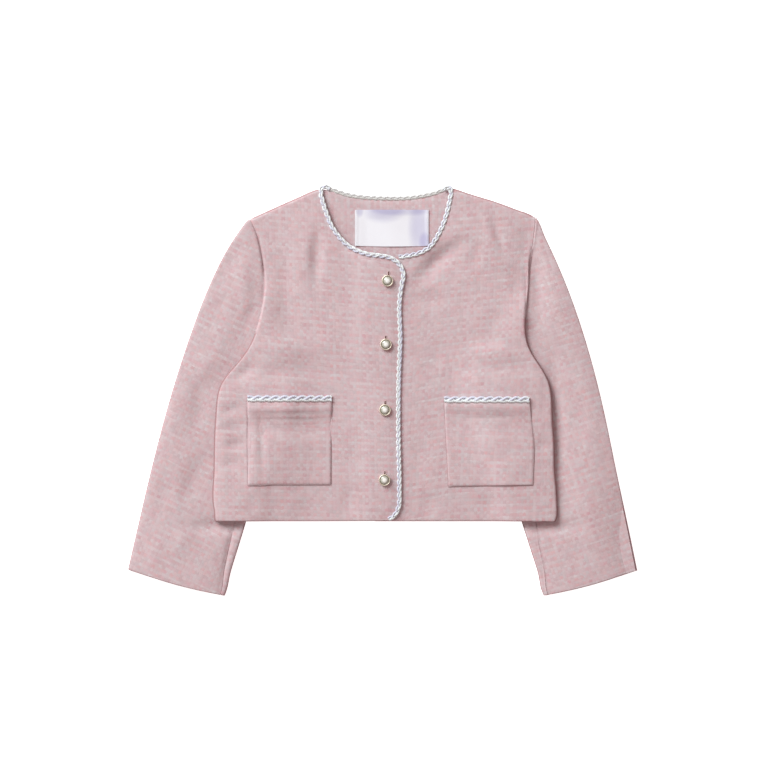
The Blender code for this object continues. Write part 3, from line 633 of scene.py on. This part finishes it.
def facing_up(mesh):
    """1 for points that face straight up, -1 straight down, 0 sideways."""
    normals = np.empty(3 * len(mesh.vertices))
    mesh.vertex_normals.foreach_get("vector", normals)
    return normals.reshape(-1, 3)[:, 2]


def note(mesh, name, numbers):
    """Leave a number on each point, for the material."""
    mesh.attributes.new(name, "FLOAT", "POINT").data.foreach_set("value", numbers)


def set_cut(mesh, cut, points):
    """Write the UV map that says where each point lies on its piece as cut."""
    across, along = cut(*points.T[:2])
    corners = np.empty(len(mesh.loops), int)
    mesh.loops.foreach_get("vertex_index", corners)
    layer = mesh.uv_layers.new(name="cut")
    layer.uv.foreach_set("vector", np.stack((across[corners], along[corners]), 1).ravel())


def top_share(up):
    """How much of a change a point takes: all of it on the upper side, half at the edge, none below."""
    return np.clip(0.5 + 0.6 * up, 0, 1)


def new_mesh(name, points, faces, sharp):
    """A mesh from points in millimetres, smooth but for edges that turn by more than sharp degrees."""
    mesh = bpy.data.meshes.new(name)
    mesh.from_pydata([Vector(point) * MM for point in points], [], faces)
    mesh.shade_smooth()
    mesh.set_sharp_from_angle(angle=math.radians(sharp))
    return mesh


def box_of(node):
    """The low and the high corner of a solid's box, in millimetres."""
    return [np.array(corner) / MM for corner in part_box(node)]


def repaint(piece, material):
    piece.data.materials.clear()
    piece.data.materials.append(material)


def finish_piece(piece, *nodes, slot):
    """What every piece needs: the solids that it stands for are hidden, if any, and it goes on its body.
    slot is not used.
    """
    if nodes:
        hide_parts(*nodes)
    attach(piece, "root")
    print(piece.name, len(piece.data.polygons), "faces")
    return piece


def relief(points, up, creased, above, own):
    """Move points by the creases, above a height. The underside follows only the deep ones."""
    x, y = points.T[:2]
    height = creased * (crease_height(x, y, CREASES + own) + hand_height(points) + seam_height(x, y))
    free = ramp(points[:, 2], above, above + 1)
    top = top_share(up) * height
    under = np.clip(-up, 0, 1) * np.minimum(height + WALL - LEAST_WALL, 0)
    points[:, 2] = np.maximum(points[:, 2] + free * (top + under), 0)


def make_cloth(node, levels, cut, paint=None, creased=1, above=-2, shape=None, own=()):
    """A piece of tweed in place of its solid. own holds the creases of this piece alone."""
    mesh = skin(node, levels)
    points = read_points(mesh)
    facing = facing_up(mesh)
    up = np.clip(1.5 * facing, -1, 1)  # 1 on the upper side, -1 below, between on the edges
    # painted shade: the cloth darkens where it faces sideways at an edge, and down in a seam's valley
    edge_shade = ramp(np.abs(facing), 0.99, 0.55) * seam_hush(*points.T[:2])
    edge_shade = np.maximum(edge_shade, -0.6 * seam_height(*points.T[:2]))
    note(mesh, "edge_shade", np.clip(edge_shade, 0, 1))
    if shape:
        shape(points, up)
    push_out(points, PUSHES)
    relief(points, up, creased, above, own)
    write_points(mesh, points)
    set_cut(mesh, cut, points)
    mesh.shade_smooth()
    mesh.materials.append(paint or tweed)
    return finish_piece(add_object(node + "_cloth", mesh), node, slot="tweed")


# %% [markdown]
# ## The body
#
# The rows of the weave don't run quite level. On the right front they sink a little towards the
# buttons, and on the left front they climb away from them. The pockets were cut level, so their rows
# meet the body's at a slight angle.

# %% Lines of the edges
FRONT_EDGE = (
    (6.8, -139.8), (13.6, -134.7), (17.6, -126.1), (18.4, -107.7), (17.6, -60), (17.8, 13.2),
    (19.4, 55), (18.9, 100), (21, 114.5), (22.8, 124.5), (20.6, 132.6), (15.4, 139),
    (8, 143.4), (-2.5, 145.6), (-14.9, 147), (-26.7, 150.8), (-37.5, 156.9), (-47.3, 166.6),
    (-54.8, 177.6), (-60.4, 191.4), (-65, 206), (-66.6, 213.6), (-65.6, 218.6), (-61.8, 220),
    (-57.6, 217.4),
)
NECK_LEFT = (
    (17.4, 143.3), (28.9, 145), (40.2, 147.9), (50.6, 154), (59.7, 166.6), (66.2, 180.6),
    (70.3, 193.6), (73.1, 206.6), (74.2, 213.8), (73.4, 218.8), (69.8, 219.6), (66, 216.8),
)
NECK_BACK = (
    (-60, 218.6), (-50.5, 215.2), (-37.5, 211), (-18.1, 208.4), (7.8, 207.4), (27.3, 207.8),
    (46.7, 210.8), (59.7, 214.2), (68.2, 218.2),
)

# %% Fronts, back and pockets
THINNER = (0.8, 0.4)  # how far a pocket's upper and under sides are lowered
PRESSED, PRESSED_RUN = 0.5, 3.5  # how much farther its edge is, and how far in from the edge
FRONT_PRESSED, FRONT_PRESSED_RUN = 0.8, (1, 12)  # the same for the overlap
NECK_CORNERS = ((-60, 217, -8, 0, 6), (69, 217, 8.5, 0, 6))  # of the back, as pushes


def press_edges(points, up):
    """A pocket's edges are pressed flat: lower its upper side towards them."""
    x, y = points.T[:2]
    from_edge = np.minimum(np.minimum(x - x.min(), x.max() - x), y - y.min())
    pressed = THINNER[0] + PRESSED * ramp(from_edge, PRESSED_RUN, 0)
    share = top_share(up)
    points[:, 2] -= share * pressed + (1 - share) * THINNER[1]


def press_front_edge(points, up):
    """The overlap's edge is pressed flat too, so that the braid doesn't stand up."""
    near, _, distance, _ = nearest_on(FRONT_EDGE, 2, *points.T[:2])
    points[near, 2] -= FRONT_PRESSED * (1 - ramp(distance, *FRONT_PRESSED_RUN)) * top_share(up[near])


def cut_right_front(x, y):
    droop = 0.025 + 0.06 * ramp(y, -110, 40)
    return x + 0.02 * y, y + droop * (x + 180)


def cut_left_front(x, y):
    near = np.clip(x, -20, 70) + 20
    far = np.maximum(x - 70, 0)
    return x - 0.03 * y, y - 0.175 * near - (0.045 + 0.06 * ramp(y, -90, 60)) * far


def cut_back(x, y):
    return x, y


def cut_right_pocket(x, y):
    return x + 1.7, y - 0.01 * x + 1.1


def cut_left_pocket(x, y):
    return x - 0.05 * y, y + 0.03 * x + 2.3


def reach_shoulders(points, up):
    """The back's neck corners go out to the shoulder seams, under the braid."""
    push_out(points, NECK_CORNERS)


back = make_cloth("back_panel", 2, cut_back, tweed_inside, creased=0.3, shape=reach_shoulders)
front_right = make_cloth(
    "front_right", 3, cut_right_front, shape=press_front_edge, own=FRONT_RIGHT_CREASES,
)
front_left = make_cloth("front_left", 3, cut_left_front, shape=close_shoulder, own=FRONT_LEFT_CREASES)
pocket_right = make_cloth("pocket_right", 3, cut_right_pocket, shape=press_edges, own=POCKET_CREASES)
pocket_left = make_cloth("pocket_left", 3, cut_left_pocket, shape=press_edges, own=POCKET_CREASES)

# %% [markdown]
# ## Sleeves
#
# Each sleeve is an upper and an under piece, folded flat. Their weave is turned, because the sleeves
# swing outward from the shoulders: by 26 degrees on the right and 18 on the left.

# %% Sleeves
def turned_cut(degrees):
    """A cut whose rows run this many degrees below level, towards +X."""
    turn = math.radians(degrees)

    def cut(x, y):
        return x * math.cos(turn) - y * math.sin(turn), x * math.sin(turn) + y * math.cos(turn)

    return cut


for side, degrees in (("right", 26), ("left", -18)):
    for part in ("upper", "under"):
        make_cloth(
            f"sleeve_{part}_{side}", 3, turned_cut(degrees), above=2.2,
            shape=draw_to_seams, own=SLEEVE_CREASES,
        )

# %% [markdown]
# ## Braid
#
# The braid is a flat plait of three soft strands. Each strand swings from side to side in a sine, and
# rises twice for each swing so that it passes over one neighbour and under the other. At the left
# side it bulges out in a small loop. Geometry Nodes make it by that rule: a line on the finished cloth
# goes in, and three tubes come out. The piece behind the neck is more worn, and its strands lie
# closer. The pockets have a bolder one.

# %% Lines on the cloth
PLAIT_STEP = 21.6  # along the line, until a strand is back on the same side
PLAIT_SWING = 1.05  # from the middle line to a strand's own middle
PLAIT_RISE = 0.4
PICOT = 1.9  # how a strand bulges at the left side
PICOT_FROM = 0.45  # share of its swing where that starts
STRANDS = 3
STRAND_SIDES = 9
RINGS_APART = 0.9
STRAND = 1.15  # radius
SUNK = -1.1  # how deep the braid beds into the cloth under it
POCKET_END = 0.5  # how far short of a pocket's corners its braid stops
POCKET_DOWN = 0.6


def height_on(piece):
    """A function that gives the height of a piece at a place, or None beside it."""
    faces = [polygon.vertices[:] for polygon in piece.data.polygons]
    tree = BVHTree.FromPolygons([point.co for point in piece.data.vertices], faces)

    def height(x, y):
        hit = tree.ray_cast(Vector((x * MM, y * MM, 1)), Vector((0, 0, -1)))[0]
        return hit and hit.z / MM

    return height


def lay(knots, piece, half_width, above):
    """The line through the knots, laid on the highest cloth under its width."""
    height = height_on(piece)
    plan = smooth_line(knots, 2)
    sideways = np.gradient(plan, axis=0)[:, ::-1] * (1, -1)
    sideways /= np.linalg.norm(sideways, axis=1)[:, None]
    heights = []
    for place, side in zip(plan, sideways):
        under = [height(*(place + share * half_width * side)) for share in (-1, -0.4, 0.4, 1)]
        under = [z for z in under if z is not None]
        heights.append(max(under) if under else np.nan)
    heights = np.array(heights)
    known = ~np.isnan(heights)
    heights = np.interp(np.arange(len(heights)), np.flatnonzero(known), heights[known])
    ends = np.pad(heights, 3, mode="edge")
    heights = np.convolve(ends, np.ones(7) / 7, mode="valid")
    return np.column_stack((plan, heights + above))


def add_path(name, points):
    """A curve object through points in millimetres."""
    data = bpy.data.curves.new(name, "CURVE")
    data.dimensions = "3D"
    spline = data.splines.new("POLY")
    spline.points.add(len(points) - 1)
    spline.points.foreach_set("co", np.column_stack((points * MM, np.ones(len(points)))).ravel())
    return add_object(name, data)


# %% Geometry Nodes helpers
class Recipe(Graph):
    """A Geometry Nodes tree under construction, with named inputs for its sizes."""

    family = "GeometryNode"

    def __init__(self, name, **sizes):
        self.group = bpy.data.node_groups.new(name, "GeometryNodeTree")
        super().__init__(self.group)
        for way in ("INPUT", "OUTPUT"):
            self.group.interface.new_socket("Geometry", in_out=way, socket_type="NodeSocketGeometry")
        self.sockets = {}
        for size, value in sizes.items():
            socket = self.group.interface.new_socket(size, in_out="INPUT", socket_type="NodeSocketFloat")
            socket.default_value = value
            self.sockets[size] = socket.identifier
        self.entry = self.group.nodes.new("NodeGroupInput")
        self.geometry = Value(self, self.entry.outputs[0])

    def size(self, name):
        return Value(self, self.entry.outputs[name])

    def vectors(self, operation, first, second=(0, 0, 0)):
        return self.add("ShaderNodeVectorMath", {0: first, 1: second}, operation=operation)

    def note(self, geometry, name, value):
        """Leave a number on each point, for the material."""
        return self.add("StoreNamedAttribute", {"Geometry": geometry, "Name": name, "Value": value})

    def close(self, geometry, material):
        """End the tree: instances made real, shaded smooth, and given their material."""
        real = self.add("RealizeInstances", {0: geometry})
        shaded = self.add("SetShadeSmooth", {0: real})
        painted = self.add("SetMaterial", {"Geometry": shaded, "Material": material})
        leave = self.group.nodes.new("NodeGroupOutput")
        self.feed(leave.inputs[0], painted)

    def cook(self, name, source, **sizes):
        """Run the tree on an object and keep the result as a plain mesh object."""
        modifier = source.modifiers.new("recipe", "NODES")
        modifier.node_group = self.group
        for size, value in sizes.items():
            modifier[self.sockets[size]] = value
        mesh = plain_mesh(source)
        bpy.data.objects.remove(source)
        return add_object(name, mesh)


# %% [markdown]
# The strands are soft two-ply yarn. The tree leaves three numbers on every point: how far along the
# strand it lies, how far round, and how far to the side the strand swings there. The material winds
# the plies from the first two. The third tells where a strand shows its pale lilac-blue ply, at the
# braid's left side.

# %% Braid's material
PLY_STEP = 4.6  # along the strand, for one turn of its plies


def make_braid_paint(name, white, lilac, hollow_shade):
    paint = Paint(name, 0.75)
    paint.set("Sheen Weight", 0.3)
    along, around, side = (paint.number(name) for name in ("along", "around", "side"))
    wave = paint.math("SINE", (along / (PLY_STEP * MM) + around) * math.tau)
    fibres, patches = paint.noise(paint.place(), 1600), paint.noise(paint.place(), 120, 1)
    ply = paint.soft_step(side + wave * 0.25 + (fibres - 0.5) * 0.6 + (patches - 0.5) * 0.8, -0.75, -0.1)
    colour = paint.mix(ply, lilac, white)
    # painted shade: darker in the grooves between the plies and at a strand's outer swing
    groove, rim = paint.soft_step(abs(wave), 0.30, 0), paint.soft_step(abs(side), 0.86, 1)
    paint.set("Base Color", paint.mix(groove * 0.13 + rim * 0.08, colour, hollow_shade))
    paint.bump(abs(wave) * 0.6 + fibres * 0.5, 0.2)
    return paint.material


braid = make_braid_paint("braid", (0.72, 0.75, 0.76), (0.58, 0.58, 0.69), (0.48, 0.41, 0.43))
braid_grey = make_braid_paint("braid_grey", (0.62, 0.61, 0.59), (0.55, 0.54, 0.54), (0.48, 0.46, 0.45))

# %% The plait
plait = Recipe(
    "plait", Swing=PLAIT_SWING * MM, Rise=PLAIT_RISE * MM, Picot=PICOT * MM, Step=PLAIT_STEP * MM,
    Radius=STRAND * MM,
)
line = plait.add("ResampleCurve", {"Curve": plait.geometry, "Length": RINGS_APART * MM}, mode="LENGTH")
length = plait.add("SplineParameter", output=1)
tangent = plait.add("InputTangent")
sideways = plait.vectors("NORMALIZE", plait.vectors("CROSS_PRODUCT", tangent, (0, 0, 1)))
strands = []
for k in range(STRANDS):
    turn = length / plait.size("Step") * math.tau + math.tau * k / STRANDS
    sine = plait.math("SINE", turn)
    bulge = plait.math("MAXIMUM", sine * -1 - PICOT_FROM, 0)
    swing = sine * plait.size("Swing") - bulge * plait.size("Picot")
    rise = plait.math("SINE", turn * 2) * plait.size("Rise")
    aside = plait.add("ShaderNodeVectorMath", {0: sideways, "Scale": swing}, operation="SCALE")
    offset = plait.vectors("ADD", aside, plait.vector(0, 0, rise))
    moved = plait.add("SetPosition", {"Geometry": line, "Offset": offset})
    noted = plait.note(moved, "along", length + PLY_STEP * MM * k / STRANDS)
    noted = plait.note(noted, "side", sine)
    ring = {"Resolution": STRAND_SIDES, "Radius": plait.size("Radius")}
    ring = plait.note(plait.add("CurvePrimitiveCircle", ring), "around", plait.add("SplineParameter"))
    strands.append(plait.add("CurveToMesh", {"Curve": noted, "Profile Curve": ring, "Fill Caps": True}))
joined = plait.group.nodes.new("GeometryNodeJoinGeometry")
for strand in strands:
    plait.feed(joined.inputs[0], strand)
plait.close(Value(plait, joined.outputs[0]), braid)


def make_braid(node, knots, under, material=None, above=SUNK, **sizes):
    """A length of plait on the piece under it, in place of its solid."""
    points = lay(knots, under, PLAIT_SWING + 0.6, above + STRAND)
    piece = plait.cook(node + "_plait", add_path(node, points), **sizes)
    if material:
        repaint(piece, material)
    soft = read_points(piece.data)
    soft[:, 2] = np.maximum(soft[:, 2], 0)  # pressed flat where it rests on the surface
    write_points(piece.data, soft)
    return finish_piece(piece, node, slot="braid")


def top_of(node):
    """Line along a pocket's top edge, from its solid's box."""
    low, high = box_of(node)
    y = 0.5 * (low[1] + high[1]) - POCKET_DOWN
    return [(x, y) for x in np.linspace(low[0] + POCKET_END, high[0] - POCKET_END, 3)]


make_braid(
    "trim_neck_back", NECK_BACK, back, braid_grey, above=SUNK - 0.85,
    Swing=0.9 * MM, Rise=0.2 * MM, Picot=1.2 * MM, Radius=1.5 * MM,
)
make_braid("trim_front_right", FRONT_EDGE, front_right)
make_braid("trim_neck_left", NECK_LEFT, front_left)
for side, pocket in (("right", pocket_right), ("left", pocket_left)):
    make_braid(
        f"trim_pocket_{side}", top_of(f"trim_pocket_{side}"), pocket, above=SUNK - 0.2,
        Swing=1.5 * MM, Picot=2.5 * MM, Radius=1.6 * MM, Step=28.5 * MM,
    )

# %% [markdown]
# ## Buttons
#
# A button is a pearl dome in a rim of pale gold. Both are round about one axis, so a profile of a few
# points is turned into a mesh, ring by ring. The rim is a little worn. The pearl has a clear coat over a
# slightly rough cream, and its colour is a painted highlight, white in the middle, going over to a
# painted dark reflection towards its foot.

# %% Turned shapes
TURNS = 64


def arc(x, y, wide, high, to, count):
    """Points on an oval round x, y, from its right end up."""
    return [(x + wide * math.cos(turn), y + high * math.sin(turn)) for turn in np.linspace(0, to, count)]


def walls(rim, count):
    """Quads between rings of points, each anticlockwise from above, and those count places later."""
    after = np.roll(rim, -1, axis=-1)
    return np.stack((after, rim, rim + count, after + count), -1).reshape(-1, 4).tolist()


def turned(name, profile, centre, base):
    """A closed shape from (radius, height) points that start and end on the axis."""
    radius, height = np.array(profile, float).T
    angles = np.linspace(0, math.tau, TURNS, endpoint=False)
    across, up = (np.outer(radius[1:-1], way(angles)).ravel() for way in (np.cos, np.sin))
    points = np.column_stack((across, up, np.repeat(height[1:-1], TURNS)))
    points = np.vstack(((0, 0, height[0]), points, (0, 0, height[-1])))
    share = np.hypot(*points.T[:2]) / radius.max()
    points += (*centre, base)
    rings = np.arange(1, len(points) - 1).reshape(-1, TURNS)
    faces = [face[::-1] for face in walls(rings[:-1], TURNS)]
    low, high = rings[0].tolist(), rings[-1].tolist()
    for k in range(TURNS):
        faces += [(0, low[k], low[k - 1]), (high[k - 1], high[k], len(points) - 1)]
    mesh = new_mesh(name, points, faces, sharp=60)
    note(mesh, "from_axis", share)
    return add_object(name, mesh)


# %% Their materials
gold = Paint("gold", 0.3, 1)
scuffs = gold.noise(gold.place(), 900, 3)
gold.set("Base Color", gold.mix(scuffs, (0.88, 0.81, 0.69), (0.77, 0.69, 0.56)))
gold.set("Roughness", 0.44 + scuffs * 0.2)

pearl = Paint("pearl", 0.22)
pearl.set("Coat Weight", 0.9)
pearl.set("Coat Roughness", 0.08)
# painted highlight: white in the middle, and a painted dark reflection towards the foot
foot = pearl.number("from_axis")
cream = pearl.mix(pearl.noise(pearl.place(), 260), (0.92, 0.92, 0.88), (0.96, 0.94, 0.90))
middle = pearl.mix(pearl.soft_step(foot, 0.28, 0.66), cream, (0.50, 0.49, 0.42))
pearl.set("Base Color", pearl.mix(pearl.soft_step(foot, 0.62, 0.98), middle, (0.30, 0.28, 0.22)))

# %% Four buttons
BORE = 0.80  # of the rim, as a share of its radius
SEAT = 0.33  # where the pearl sits, as a share of the rim's height


def rim_profile(radius, height):
    """Up the outside, over a rolled edge, down the bore to the seat."""
    bore, seat = BORE * radius, SEAT * height
    roll = 0.5 * (radius - bore)
    middle, crest = radius - roll, height - roll
    return [
        (0, 0), (0.8 * radius, 0), (0.93 * radius, 0.1 * height), (radius, 0.4 * height),
        *arc(middle, crest, roll, roll, math.pi, 12), (bore, seat), (0, seat),
    ]


def dome_profile(radius, height):
    """Upright at its foot, then a slightly flattened quarter round."""
    foot = 0.12 * height
    round_top = arc(0, foot, radius, height - foot, 0.5 * math.pi, 18)[:-1]
    return [(0, 0), (radius * 0.97, 0), *round_top, (0, height)]


for number in range(1, 5):
    for kind, paint, profile in (("rim", gold, rim_profile), ("pearl", pearl, dome_profile)):
        node = f"button_{kind}_{number}"
        low, high = box_of(node)
        outline = profile(0.5 * (high[0] - low[0]), high[2] - low[2])
        piece = turned(node + "_turned", outline, 0.5 * (low + high)[:2], low[2])
        piece.data.materials.append(paint.material)
        finish_piece(piece, node, slot=kind)

# %% [markdown]
# ## Label
#
# The label is a bare strip of woven satin, sewn on at its two ends. Satin is smooth along its floats
# and ribbed across them, so it shines in soft bands where it waves. Soft lilac patches of painted
# shade lie on its white.

# %% Satin label
satin = Paint("satin", 0.34)
satin.set("Sheen Weight", 0.2)
x, y, _ = satin.parts(satin.place())
ribs = satin.math("SINE", y * (math.tau / (0.55 * MM)))
threads = satin.noise(satin.vector(x * 0.15, y), 2600)
bands = satin.noise(satin.vector(x, y * 0.6), 34, 1)


def patch(place_x, place_y, wide, high):
    """1 at a place on the label, in millimetres, fading out over an oval."""
    right, up = (x - place_x * MM) / (wide * MM), (y - place_y * MM) / (high * MM)
    return satin.soft_step(right * right + up * up + (bands - 0.5) * 0.7, 3, -0.4)


# painted shade: soft lilac patches on the white satin
LILAC_SHADE_PATCHES = (
    (0, 194, 15, 9), (39, 175, 8, 20), (-25, 194, 3, 5), (46, 160, 5, 8), (22, 196, 26, 5),
)
lilac_shade = sum(patch(*place) for place in LILAC_SHADE_PATCHES)
satin.set("Base Color", satin.mix(lilac_shade * 0.7, (0.86, 0.86, 0.91), (0.52, 0.50, 0.68)))
satin.set("Roughness", 0.28 + bands * 0.16)
satin.bump(ribs * 0.5 + threads * 0.6, 0.05)

LABEL_CELLS = (80, 40)
LABEL_THICK = 0.45
LABEL_ENDS = 3.2  # turned-in ends


def make_label():
    low, high = box_of("label_neck")
    xs = np.linspace(low[0], high[0], LABEL_CELLS[0] + 1)
    ys = np.linspace(low[1], high[1], LABEL_CELLS[1] + 1)
    x, y = np.meshgrid(xs, ys)
    from_end = np.minimum(x - xs[0], xs[-1] - x)
    waves = 0.35 * np.sin(x / 9 + 0.04 * y) * ramp(from_end, 2, 14)
    curl = 0.5 * ramp(y, ys[-1] - 12, ys[-1]) * ramp(from_end, 4, 20)
    hem = 0.25 * ramp(from_end, LABEL_ENDS + 0.4, LABEL_ENDS - 0.6)
    top = low[2] + LABEL_THICK + waves + curl + hem
    sag = 0.8 * np.sin(math.pi * (x - xs[0]) / (xs[-1] - xs[0])) * ramp(y, ys[0] + 12, ys[0])
    upper = np.stack((x, y - sag, top), -1).reshape(-1, 3)
    lower = upper - (0, 0, LABEL_THICK)
    at = np.arange(x.size).reshape(x.shape)
    quads = np.stack((at[:-1, :-1], at[:-1, 1:], at[1:, 1:], at[1:, :-1]), -1).reshape(-1, 4)
    rim = np.array([*at[0], *at[1:, -1], *at[-1, -2::-1], *at[-2:0:-1, 0]])
    faces = quads.tolist() + (quads[:, ::-1] + x.size).tolist() + walls(rim, x.size)
    mesh = new_mesh("label_neck_satin", np.concatenate((upper, lower)), faces, sharp=50)
    mesh.materials.append(satin.material)
    return finish_piece(add_object("label_neck_satin", mesh), "label_neck", slot="satin")


label = make_label()

# %% [markdown]
# ## Stitches
#
# One tree makes all the stitches. It walks along a line, sets a small rounded stitch at each step, and
# turns it by an angle: along the line for a running stitch, across it for a buttonhole.

# %% The stitch recipe
stitches = Recipe("stitches", Step=2 * MM, Length=1.4 * MM, Thickness=0.4 * MM, Turn=0)
dots = {"Curve": stitches.geometry, "Length": stitches.size("Step")}
dots = stitches.add("CurveToPoints", dots, mode="LENGTH")
tangent = Value(stitches, dots.socket.node.outputs["Tangent"])
aligned = stitches.add("FunctionNodeAlignRotationToVector", {"Vector": tangent}, axis="X")
swing = {"Axis": (0, 0, 1), "Angle": stitches.size("Turn")}
swing = stitches.add("FunctionNodeAxisAngleToRotation", swing)
facing = stitches.add("FunctionNodeRotateRotation", {0: aligned, 1: swing}, rotation_space="LOCAL")
ball = stitches.add("MeshUVSphere", {"Segments": 8, "Rings": 6, "Radius": 0.5})
thick = stitches.size("Thickness")
size = stitches.vector(stitches.size("Length"), thick, thick)
one = stitches.add("Transform", {"Geometry": ball, "Scale": size})
many = stitches.add("InstanceOnPoints", {"Points": dots, "Instance": one, "Rotation": facing})


def make_thread_paint(name, colour, shade):
    paint = Paint(name, 0.7)
    fibres = paint.noise(paint.place(), 2200)
    paint.set("Base Color", paint.mix(fibres, shade, colour))
    paint.bump(fibres, 0.1)
    return paint.material


rose_thread = make_thread_paint("rose_thread", (0.80, 0.66, 0.66), (0.62, 0.46, 0.47))
stitches.close(many, rose_thread)

# %% [markdown]
# A buttonhole is a slit whipped round with thread, with a dark strip in it as painted shade. Only its
# upper end shows above its button.

# %% Buttonholes
# how far above its button's middle each hole ends, and how far to the side it lies
HOLES = ((10.6, 1.3), (9.9, -0.2), (10.2, 0.3), (10, 0.4))
HOLE_HALF = 1  # half the slit's width
# the slit's colour is painted shade
slit_shade_paint = make_thread_paint("slit", (0.20, 0.10, 0.09), (0.12, 0.05, 0.05))
on_front = height_on(front_right)


def make_buttonhole(number, end, lean):
    low, high = box_of(f"button_rim_{number}")
    x, y, _ = 0.5 * (low + high)
    x += lean
    top = arc(x, y + end - HOLE_HALF, HOLE_HALF, HOLE_HALF, math.pi, 9)
    outline = smooth_line([(x + HOLE_HALF, y + 2), *top, (x - HOLE_HALF, y + 2)], 0.35)
    z = on_front(x, y + end - 1)
    path = np.column_stack((outline, np.full(len(outline), z + 0.12)))
    whip = stitches.cook(
        f"buttonhole_{number}", add_path(f"hole_path_{number}", path),
        Step=0.48 * MM, Length=1.1 * MM, Thickness=0.34 * MM, Turn=0.5 * math.pi,
    )
    finish_piece(whip, slot="tweed")
    # painted shade: the slit is a thin dark strip between the two rows of thread
    share = np.linspace(0, 1, 9)
    up = y + 2 + (end - 2) * share
    half = HOLE_HALF * np.sqrt(1 - np.clip((share - 0.86) / 0.14, 0, 1) ** 2) + 0.02
    rim = np.column_stack((x + np.append(half, -half[::-1]), np.append(up, up[::-1])))
    points = [(*place, z + rise) for rise in (0.1, -0.2) for place in rim]
    at = np.arange(len(points)).reshape(2, -1)
    faces = [at[0].tolist(), at[1, ::-1].tolist()] + walls(at[0], len(rim))
    mesh = new_mesh(f"slit_{number}", points, faces, sharp=1)
    mesh.materials.append(slit_shade_paint)
    finish_piece(add_object(f"slit_{number}", mesh), slot="tweed")


for number, hole in enumerate(HOLES, 1):
    make_buttonhole(number, *hole)

# %% [markdown]
# The label is held by a row of small white stitches at each end.

# %% Label's stitches
white_thread = make_thread_paint("white_thread", (0.82, 0.82, 0.86), (0.66, 0.66, 0.72))
LABEL_INSET = (1.7, 1.2)  # of the stitches, from its ends and from its long edges
low, high = box_of("label_neck")
on_label = height_on(label)
for number, x in enumerate((low[0] + LABEL_INSET[0], high[0] - LABEL_INSET[0]), 1):
    ys = np.linspace(low[1] + LABEL_INSET[1], high[1] - LABEL_INSET[1], 40)
    path = np.array([(x, y, (on_label(x, y) or low[2]) + 0.05) for y in ys])
    row = stitches.cook(
        f"label_stitches_{number}", add_path(f"label_path_{number}", path),
        Step=2.3 * MM, Length=1.6 * MM, Thickness=0.35 * MM,
    )
    repaint(row, white_thread)
    finish_piece(row, slot="satin")

# %% [markdown]
# ## What the cloth was before it was sewn
#
# Each piece of cloth says the size that it was cut to, how it is held and what it lies on. The areas
# are of the cut, which isn't a rectangle.

# %% Cut sizes
Cut = namedtuple("Cut", "piece width length share rests_on")
